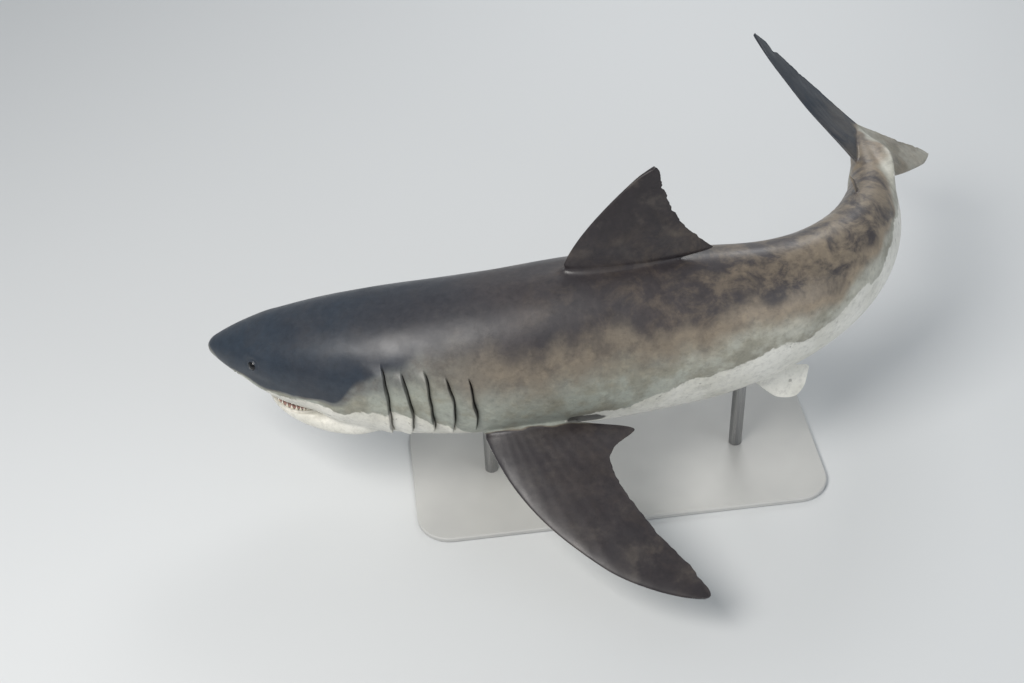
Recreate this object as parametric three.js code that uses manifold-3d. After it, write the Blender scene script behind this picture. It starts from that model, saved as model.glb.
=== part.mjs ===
// A life-size great white shark on a display stand, turning to its right.
// Millimetres, +Z up. The shark heads along -X with its left side towards -Y, and its tail swings towards +Y.
// The body is shaped straight, in shares of its total length, and then bent into its pose:
//   u runs from the snout tip (0) to the tip of the tail (1), v is to the shark's left, z is up from its axis.
import * as THREE from "three";
import { mergeVertices } from "three/addons/utils/BufferGeometryUtils.js";
import Module from "manifold-3d";

const wasm = await Module();
wasm.setup();

// ---- Driving dimensions -------------------------------------------------------------------------------------
const TOTAL_LENGTH = 3600;
const GAP = 0.4; // between two nodes that touch
const AXIS_HEIGHT = 640; // of the shark's axis over the floor, at PITCH_CENTRE

// The pose: a turn to the right, with the head leading it, the tail swung and rolled into it, and the body a
// little head down.
const HEAD_TURN = THREE.MathUtils.degToRad(17);
const HEAD_TURN_START = 0.06;
const HEAD_TURN_END = 0.36;
const BEND = THREE.MathUtils.degToRad(83);
const BEND_START = 0.45;
const BEND_END = 0.846;
const TAIL_ROLL = THREE.MathUtils.degToRad(53);
const TAIL_ROLL_START = 0.58;
const TAIL_ROLL_END = 0.88;
const PITCH = THREE.MathUtils.degToRad(2.6);
const PITCH_CENTRE = 0.4;

// The stand: a steel plate and two rods.
const BASE = { length: 1500, width: 640, thickness: 20, corner: 120, bevel: 4 };
const ROD_RADIUS = 24;
const ROD_SINK = 12; // how far a rod's cup reaches up into the body's outline
const ROD_AT = { front: 0.275, rear: 0.53 };

// Body stations: place, top, underside, half width, height of the widest line, and how square the section is
// below that line (2 is an ellipse). The underside from 0.05 to 0.12 is the roof of the mouth.
const STATIONS = [
  { u: 0.0, top: 0.0, bottom: 0.0, half: 0.0, wide: 0.0, square: 2.15 },
  { u: 0.004, top: 0.0062, bottom: -0.0055, half: 0.0075, wide: 0.0, square: 2.15 },
  { u: 0.012, top: 0.0118, bottom: -0.01, half: 0.0142, wide: 0.0, square: 2.15 },
  { u: 0.03, top: 0.0216, bottom: -0.0182, half: 0.0258, wide: 0.0, square: 2.2 },
  { u: 0.048, top: 0.0298, bottom: -0.0252, half: 0.0346, wide: -0.0005, square: 2.5 },
  { u: 0.06, top: 0.0345, bottom: -0.0288, half: 0.0398, wide: -0.001, square: 2.9 },
  { u: 0.08, top: 0.041, bottom: -0.0332, half: 0.047, wide: -0.002, square: 3.3 },
  { u: 0.1, top: 0.047, bottom: -0.0365, half: 0.0532, wide: -0.003, square: 3.1 },
  { u: 0.118, top: 0.052, bottom: -0.0435, half: 0.0577, wide: -0.004, square: 2.6 },
  { u: 0.15, top: 0.0588, bottom: -0.065, half: 0.0642, wide: -0.004, square: 2.3 },
  { u: 0.21, top: 0.0685, bottom: -0.0765, half: 0.0712, wide: -0.003, square: 2.2 },
  { u: 0.28, top: 0.077, bottom: -0.082, half: 0.0742, wide: 0.0, square: 2.15 },
  { u: 0.37, top: 0.084, bottom: -0.085, half: 0.074, wide: 0.001, square: 2.15 },
  { u: 0.47, top: 0.0805, bottom: -0.0825, half: 0.066, wide: 0.003, square: 2.15 },
  { u: 0.57, top: 0.066, bottom: -0.0665, half: 0.0535, wide: 0.004, square: 2.15 },
  { u: 0.66, top: 0.0515, bottom: -0.0495, half: 0.041, wide: 0.005, square: 2.15 },
  { u: 0.74, top: 0.0355, bottom: -0.0325, half: 0.0285, wide: 0.004, square: 2.15 },
  { u: 0.8, top: 0.0222, bottom: -0.0195, half: 0.0193, wide: 0.002, square: 2.15 },
  { u: 0.85, top: 0.016, bottom: -0.014, half: 0.0124, wide: 0.001, square: 2.15 },
  { u: 0.888, top: 0.004, bottom: -0.004, half: 0.003, wide: 0.0, square: 2.15 },
];
// How square the section is above its widest line: the back has a low ridge between the gills and the tail.
const ROUNDNESS = 2.15;
const RIDGE = { roundness: 1.85, starts: 0.14, full: 0.3, fades: 0.5, ends: 0.7 };
const KEEL = { at: 0.815, spread: 0.037, out: 0.0125, thick: 0.0055, height: 0.001 };

// Where the body is parted into nodes.
const PARTS = [
  { name: "head", from: 0.0, to: 0.176, rings: 15 },
  { name: "gill_region", from: 0.176, to: 0.272, rings: 6 },
  { name: "trunk_front", from: 0.272, to: 0.42, rings: 6 },
  { name: "trunk_middle", from: 0.42, to: 0.56, rings: 7 },
  { name: "trunk_rear", from: 0.56, to: 0.71, rings: 8 },
  { name: "tail_stalk", from: 0.71, to: 0.888, rings: 12 },
];
const AROUND = 28;

const EYE = { u: 0.0615, z: 0.0105, radius: 0.0061, out: 0.0018 };
const GILLS = {
  count: 5,
  first: 0.1865,
  step: 0.0182,
  top: 0.036,
  bottom: -0.054,
  depth: 0.0035,
  width: 0.0011,
};

const JAW = [
  { u: 0.0565, top: -0.041, bottom: -0.0425, half: 0.001 },
  { u: 0.059, top: -0.0402, bottom: -0.0468, half: 0.0125 },
  { u: 0.065, top: -0.0402, bottom: -0.0508, half: 0.0225 },
  { u: 0.076, top: -0.0402, bottom: -0.0546, half: 0.0328 },
  { u: 0.092, top: -0.0396, bottom: -0.0588, half: 0.0425 },
  { u: 0.112, top: -0.0372, bottom: -0.0625, half: 0.0508 },
  { u: 0.132, top: -0.036, bottom: -0.065, half: 0.0556 },
  { u: 0.152, top: -0.036, bottom: -0.0658, half: 0.057 },
  { u: 0.175, top: -0.036, bottom: -0.062, half: 0.054 },
];
const TEETH = {
  perSide: 10,
  upper: { height: 0.0056, front: 0.0575, back: 0.11, reach: 0.0435 },
  lower: { height: 0.005, front: 0.0615, back: 0.11, reach: 0.0425 },
  sink: 0.003,
};

// ---- Curves -------------------------------------------------------------------------------------------------
const smoothstep = (a, b, x) => THREE.MathUtils.smoothstep(x, a, b);

// A smooth curve through (keys[i].u, keys[i][field]) that never overshoots.
function curveThrough(keys, field) {
  const n = keys.length;
  const step = (i) => keys[i + 1].u - keys[i].u;
  const rise = (i) => (keys[i + 1][field] - keys[i][field]) / step(i);
  const tangent = keys.map((_, i) => {
    if (i === 0) return rise(0);
    if (i === n - 1) return rise(n - 2);
    if (rise(i - 1) * rise(i) <= 0) return 0;
    const w1 = 2 * step(i) + step(i - 1);
    const w2 = step(i) + 2 * step(i - 1);
    return (w1 + w2) / (w1 / rise(i - 1) + w2 / rise(i));
  });
  return (u) => {
    const x = THREE.MathUtils.clamp(u, keys[0].u, keys[n - 1].u);
    let i = 0;
    while (i < n - 2 && x >= keys[i + 1].u) i++;
    const h = step(i);
    const t = (x - keys[i].u) / h;
    const a = keys[i][field] * (1 + 2 * t) + h * tangent[i] * t;
    const b = keys[i + 1][field] * (3 - 2 * t) + h * tangent[i + 1] * (t - 1);
    return (1 - t) * (1 - t) * a + t * t * b;
  };
}

const body = {
  top: curveThrough(STATIONS, "top"),
  bottom: curveThrough(STATIONS, "bottom"),
  half: curveThrough(STATIONS, "half"),
  wide: curveThrough(STATIONS, "wide"),
  square: curveThrough(STATIONS, "square"),
};
const roundnessAt = (u) => {
  const ridge = smoothstep(RIDGE.starts, RIDGE.full, u) * (1 - smoothstep(RIDGE.fades, RIDGE.ends, u));
  return THREE.MathUtils.lerp(ROUNDNESS, RIDGE.roundness, ridge);
};
const jaw = {
  top: curveThrough(JAW, "top"),
  bottom: curveThrough(JAW, "bottom"),
  half: curveThrough(JAW, "half"),
};

// ---- The pose -----------------------------------------------------------------------------------------------
const SPINE_STEPS = 1100;
const SPINE_END = 1.1;
const spine = [];
const headingAt = (u) =>
  BEND * smoothstep(BEND_START, BEND_END, u) - HEAD_TURN * (1 - smoothstep(HEAD_TURN_START, HEAD_TURN_END, u));
{
  const du = SPINE_END / SPINE_STEPS;
  let x = 0;
  let y = 0;
  for (let i = 0; i <= SPINE_STEPS; i++) {
    spine.push({ x, y, heading: headingAt(i * du) });
    const middle = headingAt((i + 0.5) * du);
    x += Math.cos(middle) * du;
    y += Math.sin(middle) * du;
  }
}

function spineAt(u) {
  const k = THREE.MathUtils.clamp((u / SPINE_END) * SPINE_STEPS, 0, SPINE_STEPS - 1e-6);
  const i = Math.floor(k);
  const mix = (field) => THREE.MathUtils.lerp(spine[i][field], spine[i + 1][field], k - i);
  return { x: mix("x"), y: mix("y"), heading: mix("heading") };
}

const pivot = spineAt(PITCH_CENTRE);

// From the straight shark (u, v, z) in shares of its length to millimetres in the pose.
function posed(u, v, z) {
  const roll = TAIL_ROLL * smoothstep(TAIL_ROLL_START, TAIL_ROLL_END, u);
  const left = v * Math.cos(roll) - z * Math.sin(roll);
  const up = z * Math.cos(roll) + v * Math.sin(roll);
  const s = spineAt(u);
  const x = s.x + left * Math.sin(s.heading) - pivot.x;
  const y = s.y - left * Math.cos(s.heading) - pivot.y;
  return new THREE.Vector3(
    (x * Math.cos(PITCH) - up * Math.sin(PITCH)) * TOTAL_LENGTH,
    y * TOTAL_LENGTH,
    (x * Math.sin(PITCH) + up * Math.cos(PITCH)) * TOTAL_LENGTH + AXIS_HEIGHT,
  );
}

// ---- Solids -------------------------------------------------------------------------------------------------
const signedPower = (x, p) => Math.sign(x) * Math.abs(x) ** p;

// A closed solid through rings of points. A ring of one point is a tip; other ends are closed flat.
function loft(rings) {
  const points = [];
  const faces = [];
  const starts = rings.map((ring) => {
    const start = points.length;
    points.push(...ring);
    return start;
  });
  // An end is closed by laces between the ring's two sides, from its first point to the one opposite.
  const cap = (ring, start, forward) => {
    const n = ring.length;
    const close = (a, b, c) => {
      const [second, third] = forward ? [b, c] : [c, b];
      faces.push([start + a, start + second, start + third]);
    };
    for (let k = 0; k + 1 < n - k; k++) {
      if (k > 0) close(k, k + 1, n - k);
      if (k + 1 < n - k - 1) close(k + 1, n - k - 1, (n - k) % n);
    }
  };
  for (let r = 0; r + 1 < rings.length; r++) {
    const n = Math.max(rings[r].length, rings[r + 1].length);
    for (let i = 0; i < n; i++) {
      const j = (i + 1) % n;
      const at = (k, index) => starts[k] + (rings[k].length === 1 ? 0 : index);
      if (rings[r].length > 1) faces.push([at(r, i), at(r + 1, i), at(r, j)]);
      if (rings[r + 1].length > 1) faces.push([at(r, j), at(r + 1, i), at(r + 1, j)]);
    }
  }
  cap(rings[0], starts[0], true);
  cap(rings.at(-1), starts.at(-1), false);
  const solid = manifoldOf(points, faces);
  return solid.volume() < 0 ? manifoldOf(points, faces.map(([a, b, c]) => [a, c, b])) : solid;
}

function manifoldOf(points, faces) {
  const vertProperties = new Float32Array(points.flatMap((p) => [p.x, p.y, p.z]));
  const triVerts = new Uint32Array(faces.flat());
  return new wasm.Manifold(new wasm.Mesh({ numProp: 3, vertProperties, triVerts }));
}

function manifoldFrom(geometry) {
  const bare = geometry.clone();
  bare.deleteAttribute("normal");
  bare.deleteAttribute("uv");
  const merged = mergeVertices(bare, 1e-3);
  const mesh = new wasm.Mesh({
    numProp: 3,
    vertProperties: merged.attributes.position.array,
    triVerts: new Uint32Array(merged.index.array),
  });
  return new wasm.Manifold(mesh);
}

function meshOf(name, solid, material) {
  const { vertProperties, triVerts } = solid.getMesh();
  const geometry = new THREE.BufferGeometry();
  geometry.setAttribute("position", new THREE.BufferAttribute(new Float32Array(vertProperties), 3));
  geometry.setIndex(new THREE.BufferAttribute(new Uint32Array(triVerts), 1));
  geometry.computeVertexNormals();
  const mesh = new THREE.Mesh(geometry, material);
  mesh.name = name;
  return mesh;
}

// The largest of the solid's separate bodies, without the crumbs that a cut can leave.
function mainBody(solid) {
  return solid.decompose().sort((a, b) => b.volume() - a.volume())[0];
}

// ---- Body ---------------------------------------------------------------------------------------------------
// One ring of the body at u, grown outwards by a few tenths of a millimetre where a neighbour is cut to fit.
function bodyRing(u, grow = 0) {
  if (u <= 0) return [posed(-grow / TOTAL_LENGTH, 0, 0)];
  const extra = grow / TOTAL_LENGTH;
  const wide = body.wide(u);
  const above = body.top(u) - wide + extra;
  const below = wide - body.bottom(u) + extra;
  const half = body.half(u) + extra;
  const keel = KEEL.out * Math.exp(-(((u - KEEL.at) / KEEL.spread) ** 2));
  return Array.from({ length: AROUND }, (_, i) => {
    const angle = (i / AROUND) * Math.PI * 2;
    const power = 2 / (Math.cos(angle) > 0 ? roundnessAt(u) : body.square(u));
    const side = signedPower(Math.sin(angle), power);
    const up = signedPower(Math.cos(angle), power);
    const z = wide + up * (up > 0 ? above : below);
    const ridge = keel * Math.exp(-(((z - KEEL.height) / KEEL.thick) ** 2));
    return posed(u, side * half + Math.sign(side) * ridge, z);
  });
}

function ringPlaces({ from, to, rings }) {
  return Array.from({ length: rings }, (_, i) => {
    const t = i / (rings - 1);
    const eased = from === 0 ? t ** 1.7 : t; // closer together at the snout
    return THREE.MathUtils.lerp(from, to, eased);
  });
}

function bodyPart(part) {
  const half = GAP / 2 / TOTAL_LENGTH;
  const places = ringPlaces(part);
  if (part.from > 0) places[0] += half;
  if (part.to < STATIONS.at(-1).u) places[places.length - 1] -= half;
  return loft(places.map((u) => bodyRing(u)));
}

const grownBody = loft([...new Set(PARTS.flatMap(ringPlaces))].map((u) => bodyRing(u, GAP)));

// Height of the body's underside at v, and half width of the body's section at a given height, both at u.
function undersideAt(u, v) {
  const power = body.square(u);
  const side = Math.min(Math.abs(v) / body.half(u), 0.999);
  return body.wide(u) - (1 - side ** power) ** (1 / power) * (body.wide(u) - body.bottom(u));
}
function flankAt(u, z) {
  const wide = body.wide(u);
  const power = z > wide ? roundnessAt(u) : body.square(u);
  const reach = z > wide ? body.top(u) - wide : wide - body.bottom(u);
  return body.half(u) * (1 - Math.min(Math.abs(z - wide) / reach, 1) ** power) ** (1 / power);
}

// ---- Teeth --------------------------------------------------------------------------------------------------
// Teeth along one side of a jaw: flat triangles on an arc, largest near the front, with their roots in the jaw.
function teeth({ height, front, back, reach }, side, rootAt, direction) {
  return Array.from({ length: TEETH.perSide }, (_, i) => {
    const place = (t) => ({
      u: THREE.MathUtils.lerp(front, back, t ** 1.7),
      v: side * reach * Math.sin((t * Math.PI) / 2) ** 0.85,
    });
    const t = (i + 0.5) / TEETH.perSide;
    const [from, middle, to] = [t - 0.4 / TEETH.perSide, t, t + 0.4 / TEETH.perSide].map(place);
    const thick = 0.0011;
    const outer = { u: middle.u - thick, v: middle.v + side * thick };
    const inner = { u: middle.u + thick, v: middle.v - side * thick };
    const root = rootAt(middle.u, middle.v);
    const level = (dz) => [from, outer, to, inner].map((p) => posed(p.u, p.v, root + dz * direction));
    const tip = posed(middle.u + 0.001, middle.v * 0.97, root + height * (1 - 0.6 * t) * direction);
    return loft([level(-TEETH.sink), level(0), [tip]]);
  });
}

const upperTeeth = [1, -1].flatMap((side) => teeth(TEETH.upper, side, undersideAt, -1));
const lowerTeeth = [1, -1].flatMap((side) => teeth(TEETH.lower, side, (u) => jaw.top(u) - 0.0004, 1));

const JAW_AROUND = 20;
function jawRing(u) {
  const middle = (jaw.top(u) + jaw.bottom(u)) / 2;
  const tall = (jaw.top(u) - jaw.bottom(u)) / 2;
  return Array.from({ length: JAW_AROUND }, (_, i) => {
    const angle = (i / JAW_AROUND) * Math.PI * 2;
    const side = signedPower(Math.sin(angle), 0.8);
    const up = signedPower(Math.cos(angle), Math.cos(angle) > 0 ? 0.55 : 0.9);
    return posed(u, side * jaw.half(u), middle + up * tall);
  });
}

// ---- Gills and eyes -----------------------------------------------------------------------------------------
// A thin curved slot, open outwards, for one gill slit.
function gillSlot(index, side) {
  const rows = 5;
  const share = index / (GILLS.count - 1);
  const top = GILLS.top - 0.01 * share;
  const bottom = GILLS.bottom + 0.014 * share; // clear of the pectoral fin's root
  return loft(
    Array.from({ length: rows }, (_, i) => {
      const t = i / (rows - 1);
      const z = THREE.MathUtils.lerp(bottom, top, t);
      const u = GILLS.first + GILLS.step * index + 0.004 * Math.sin(t * Math.PI);
      const surface = flankAt(u, z);
      const wide = GILLS.width / 2;
      return [
        [u - wide, surface - GILLS.depth],
        [u + wide, surface - GILLS.depth],
        [u + wide, surface + GILLS.depth],
        [u - wide, surface + GILLS.depth],
      ].map(([along, out]) => posed(along, side * out, z));
    }),
  );
}

function eyeBall(side, grow) {
  const centre = posed(EYE.u, side * (flankAt(EYE.u, EYE.z) - EYE.radius + EYE.out), EYE.z);
  const ball = new THREE.SphereGeometry(EYE.radius * TOTAL_LENGTH + grow, 12, 8);
  ball.translate(centre.x, centre.y, centre.z);
  return manifoldFrom(ball);
}

// ---- Fins ---------------------------------------------------------------------------------------------------
const FIN_EDGE = 3 / TOTAL_LENGTH; // thickness of a fin's trailing edge

// Half thickness of a fin section at share c of its chord, for a greatest thickness of 1.
function foil(c) {
  return 5 * (0.2969 * Math.sqrt(c) - 0.126 * c - 0.3516 * c ** 2 + 0.2843 * c ** 3 - 0.1036 * c ** 4);
}

const FOIL_STEPS = 6;
// A loop round a fin section: out along one face from the leading edge, and back along the other.
function finSection(lead, trail, thickness, place) {
  const chord = trail - lead;
  const half = (c) => Math.max(thickness * foil(c), (FIN_EDGE / 2) * Math.min(1, c * 12));
  const share = (i) => (1 - Math.cos((i / FOIL_STEPS) * Math.PI)) / 2;
  const near = Array.from({ length: FOIL_STEPS }, (_, i) => share(i + 1));
  const far = Array.from({ length: FOIL_STEPS }, (_, i) => share(FOIL_STEPS - i));
  return [
    place(lead, 0),
    ...near.map((c) => place(lead + chord * c, half(c))),
    ...far.map((c) => place(lead + chord * c, -half(c))),
  ];
}

// A fin is a stack of sections from inside the body out to its tip; edges(h) gives where each starts and ends.
function fin({ spans, edges, thickness, place }) {
  return loft(
    spans.map((h) => {
      const { lead, trail } = edges(h);
      return finSection(lead, trail, thickness(h), (u, t) => place(u, t, h));
    }),
  );
}

// Draws both edges in towards the tip's middle, so that the tip is round.
function roundTip({ lead, trail }, h, start, bias = 0.5) {
  const k = THREE.MathUtils.clamp((h - start) / (1 - start), 0, 0.985);
  const keep = Math.sqrt(1 - k * k);
  const middle = lead + (trail - lead) * bias;
  return { lead: middle + (lead - middle) * keep, trail: middle + (trail - middle) * keep };
}

const FIRST_DORSAL = { origin: 0.354, base: 0.103, height: 0.106, rake: 0.083, rearTip: 0.15, foot: 0.0815 };
const firstDorsal = fin({
  spans: [-0.2, 0, 0.04, 0.07, 0.11, 0.18, 0.3, 0.45, 0.6, 0.75, 0.87, 0.94, 0.98, 1],
  edges: (h) => {
    const up = Math.max(h, 0);
    const lead = FIRST_DORSAL.origin + FIRST_DORSAL.rake * up ** 1.45 + Math.min(h, 0) * 0.03;
    const margin = 0.094 + (FIRST_DORSAL.rearTip - 0.094) * (1 - up) ** 2.2;
    const inner = smoothstep(-0.02, 0.075, h);
    const trail = FIRST_DORSAL.origin + THREE.MathUtils.lerp(FIRST_DORSAL.base, margin, inner);
    return roundTip({ lead, trail }, h, 0.9, 0.55);
  },
  thickness: (h) => 0.0045 + 0.0085 * (1 - Math.max(h, 0)) ** 1.5,
  place: (u, t, h) => posed(u, t, FIRST_DORSAL.foot + h * FIRST_DORSAL.height),
});

const SMALL_FIN_SPANS = [-0.3, 0, 0.15, 0.28, 0.45, 0.62, 0.8, 0.93, 1];
// The second dorsal and the anal fin: low, with a long free rear tip. up is 1 above the body and -1 below.
function smallFin({ origin, base, height, rake, rearTip, up }) {
  const foot = up > 0 ? body.top(origin + base) : body.bottom(origin + base);
  return fin({
    spans: SMALL_FIN_SPANS,
    edges: (h) => {
      const lead = origin + rake * Math.max(h, 0) ** 1.2;
      const margin = rake + 0.004 + (rearTip - rake - 0.004) * (1 - Math.max(h, 0)) ** 1.6;
      const trail = origin + THREE.MathUtils.lerp(base, margin, smoothstep(0.05, 0.3, h));
      return roundTip({ lead, trail }, h, 0.8, 0.6);
    },
    thickness: (h) => 0.0012 + 0.0026 * (1 - Math.max(h, 0)),
    place: (u, t, h) => posed(u, t, foot + up * (h * height - 0.0006)),
  });
}
const SECOND_DORSAL = { origin: 0.722, base: 0.016, height: 0.0165, rake: 0.015, rearTip: 0.034, up: 1 };
const ANAL = { origin: 0.738, base: 0.017, height: 0.019, rake: 0.018, rearTip: 0.036, up: -1 };

// Paired fins lie in a plane through the flank that droops outwards.
const PECTORAL = { origin: 0.264, v: 0.05, z: -0.048, span: 0.197, sweep: 0.143, droop: (19 * Math.PI) / 180 };
function pectoral(side) {
  return fin({
    spans: [-0.1, 0.03, 0.08, 0.12, 0.17, 0.23, 0.32, 0.44, 0.56, 0.68, 0.79, 0.88, 0.94, 0.98, 1],
    edges: (s) => {
      const out = Math.max(s, 0);
      const lead = PECTORAL.sweep * (0.4 * out + 0.6 * out ** 2.8) + Math.min(s, 0) * 0.02;
      const chord = 0.102 - 0.026 * out - 0.02 * out ** 3;
      const lobe = 0.038 * Math.exp(-(((s - 0.12) / 0.085) ** 2));
      const trail = THREE.MathUtils.lerp(0.08, lead + chord + lobe, smoothstep(0.02, 0.15, s));
      const { lead: a, trail: b } = roundTip({ lead, trail }, s, 0.8, 0.62);
      return { lead: PECTORAL.origin + a, trail: PECTORAL.origin + b };
    },
    thickness: (s) => 0.0035 + 0.0095 * (1 - Math.max(s, 0)) ** 1.4,
    place: (u, t, s) => {
      const out = s * PECTORAL.span;
      const sag = 0.008 * Math.max(s, 0) ** 2; // the fin bends down a little towards its tip
      const droop = PECTORAL.droop;
      return posed(
        u,
        side * (PECTORAL.v + out * Math.cos(droop) + t * Math.sin(droop)),
        PECTORAL.z - out * Math.sin(droop) - sag + t * Math.cos(droop),
      );
    },
  });
}

const PELVIC = { origin: 0.52, v: 0.022, z: -0.0555, span: 0.042, sweep: 0.03, droop: (60 * Math.PI) / 180 };
function pelvic(side) {
  return fin({
    spans: [-0.1, 0.1, 0.25, 0.36, 0.48, 0.62, 0.75, 0.87, 0.95, 1],
    edges: (s) => {
      const out = Math.max(s, 0);
      const lead = PELVIC.sweep * out ** 1.15;
      const margin = 0.062 - 0.022 * Math.max(s - 0.4, 0);
      const trail = THREE.MathUtils.lerp(0.044, margin, smoothstep(0.2, 0.5, s));
      const { lead: a, trail: b } = roundTip({ lead, trail }, s, 0.8, 0.6);
      return { lead: PELVIC.origin + a, trail: PELVIC.origin + b };
    },
    thickness: (s) => 0.0015 + 0.0045 * (1 - Math.max(s, 0)),
    place: (u, t, s) => {
      const out = s * PELVIC.span;
      const fall = 0.1 * (u - PELVIC.origin); // the base rises towards the tail with the belly
      return posed(
        u,
        side * (PELVIC.v + out * Math.cos(PELVIC.droop) + t * Math.sin(PELVIC.droop)),
        PELVIC.z + fall - out * Math.sin(PELVIC.droop) + t * Math.cos(PELVIC.droop),
      );
    },
  });
}

// The tail fin is an upright crescent, made as two lobes that meet at the axis.
const CAUDAL = {
  fork: 0.9,
  upper: { foot: 0.803, tip: 0.97, height: 0.135 },
  lower: { foot: 0.814, tip: 0.93, height: 0.11 },
};
function caudalLobe({ foot, tip, height }, up) {
  return fin({
    spans: [0, 0.07, 0.15, 0.27, 0.4, 0.53, 0.66, 0.76, 0.81, 0.84, 0.88, 0.93, 0.97, 1],
    edges: (h) => {
      const lead = foot + (tip - foot - 0.006) * Math.max(h - 0.05, 0) ** 1.35;
      const notch = up > 0 ? 0.007 * Math.exp(-(((h - 0.825) / 0.028) ** 2)) : 0;
      const trail = CAUDAL.fork + (tip + 0.004 - CAUDAL.fork) * h ** 1.12 - notch;
      return roundTip({ lead, trail }, h, 0.86, 0.7);
    },
    thickness: (h) => 0.0034 + 0.008 * (1 - h) ** 2,
    place: (u, t, h) => posed(u, t, up * (GAP / 2 / TOTAL_LENGTH + h * height)),
  });
}

// ---- Stand --------------------------------------------------------------------------------------------------
function roundedPlate({ length, width, thickness, corner, bevel }) {
  const shape = new THREE.Shape();
  const x = length / 2 - bevel;
  const y = width / 2 - bevel;
  const r = corner - bevel;
  shape.moveTo(-x + r, -y);
  shape.lineTo(x - r, -y);
  shape.absarc(x - r, -y + r, r, -Math.PI / 2, 0, false);
  shape.lineTo(x, y - r);
  shape.absarc(x - r, y - r, r, 0, Math.PI / 2, false);
  shape.lineTo(-x + r, y);
  shape.absarc(-x + r, y - r, r, Math.PI / 2, Math.PI, false);
  shape.lineTo(-x, -y + r);
  shape.absarc(-x + r, -y + r, r, Math.PI, Math.PI * 1.5, false);
  const depth = thickness - 2 * bevel;
  const plate = new THREE.ExtrudeGeometry(shape, {
    depth,
    curveSegments: 4,
    bevelEnabled: true,
    bevelThickness: bevel,
    bevelSize: bevel,
    bevelSegments: 1,
  });
  plate.translate(0, 0, bevel);
  return plate;
}

// A rod from the base up into the underside of the body at u, cut to the body's shape.
function rod(u) {
  const foot = posed(u, 0, 0);
  const top = posed(u, 0, body.bottom(u)).z + ROD_SINK;
  const from = BASE.thickness + GAP;
  const bar = new THREE.CylinderGeometry(ROD_RADIUS, ROD_RADIUS, top - from, 32);
  bar.rotateX(Math.PI / 2);
  bar.translate(foot.x, foot.y, (top + from) / 2);
  return mainBody(manifoldFrom(bar).subtract(grownBody));
}

// ---- The model ----------------------------------------------------------------------------------------------
const skin = new THREE.MeshStandardMaterial({ color: 0x4a4d50, roughness: 0.5, metalness: 0 });
const eyeMaterial = new THREE.MeshStandardMaterial({ color: 0x0b0b0d, roughness: 0.1, metalness: 0 });
const standMaterial = new THREE.MeshStandardMaterial({ color: 0xc9c9c4, roughness: 0.5, metalness: 0.2 });

const shark = new THREE.Group();
const add = (name, solid, material = skin) => shark.add(meshOf(name, solid, material));
const joined = (solid, pieces) => pieces.reduce((sum, piece) => sum.add(piece), solid);
const cut = (solid, pieces) => pieces.reduce((rest, piece) => rest.subtract(piece), solid);
const clearOfBody = (solid) => mainBody(solid.subtract(grownBody));

const sides = [
  { name: "left", side: 1 },
  { name: "right", side: -1 },
];

for (const part of PARTS) {
  let solid = bodyPart(part);
  if (part.name === "head") {
    solid = joined(solid, upperTeeth);
    solid = cut(solid, sides.map(({ side }) => eyeBall(side, GAP)));
  }
  if (part.name === "gill_region") {
    const slots = Array.from({ length: GILLS.count }, (_, i) => i);
    solid = cut(solid, sides.flatMap(({ side }) => slots.map((i) => gillSlot(i, side))));
  }
  add(part.name, mainBody(solid));
}

const jawSolid = loft(JAW.map(({ u }) => jawRing(u)));
const headWithTeeth = joined(grownBody, upperTeeth);
add("lower_jaw", mainBody(joined(jawSolid, lowerTeeth).subtract(headWithTeeth)));

add("first_dorsal_fin", clearOfBody(firstDorsal));
add("second_dorsal_fin", clearOfBody(smallFin(SECOND_DORSAL)));
add("anal_fin", clearOfBody(smallFin(ANAL)));
add("caudal_fin_upper_lobe", clearOfBody(caudalLobe(CAUDAL.upper, 1)));
add("caudal_fin_lower_lobe", clearOfBody(caudalLobe(CAUDAL.lower, -1)));
for (const { name, side } of sides) {
  add("pectoral_fin_" + name, clearOfBody(pectoral(side)));
  add("pelvic_fin_" + name, clearOfBody(pelvic(side)));
  add("eye_" + name, eyeBall(side, 0), eyeMaterial);
}

const rods = { front: posed(ROD_AT.front, 0, 0), rear: posed(ROD_AT.rear, 0, 0) };
const plate = roundedPlate(BASE);
plate.rotateZ(Math.atan2(rods.rear.y - rods.front.y, rods.rear.x - rods.front.x));
plate.translate((rods.front.x + rods.rear.x) / 2, (rods.front.y + rods.rear.y) / 2, 0);
add("stand_base", manifoldFrom(plate), standMaterial);
add("stand_rod_front", rod(ROD_AT.front), standMaterial);
add("stand_rod_rear", rod(ROD_AT.rear), standMaterial);

// The origin is on the floor, under the middle of the whole model.
const middle = new THREE.Box3().setFromObject(shark).getCenter(new THREE.Vector3());
shark.position.set(-middle.x, -middle.y, 0);

export default shark;
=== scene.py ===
"""Great white shark, life size, turning to its right over a display stand.

The skin is shaped straight and then bent into the pose of the CAD part. In the straight shark, lengths are
shares of the total length: u runs back from the snout's tip, v is to the shark's left and z is up from its
axis. The shapes, places and names of sizes are those of the CAD part, with finer detail.
"""

import math

import bmesh
import bpy
import numpy as np
from mathutils import Matrix, Vector


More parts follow.
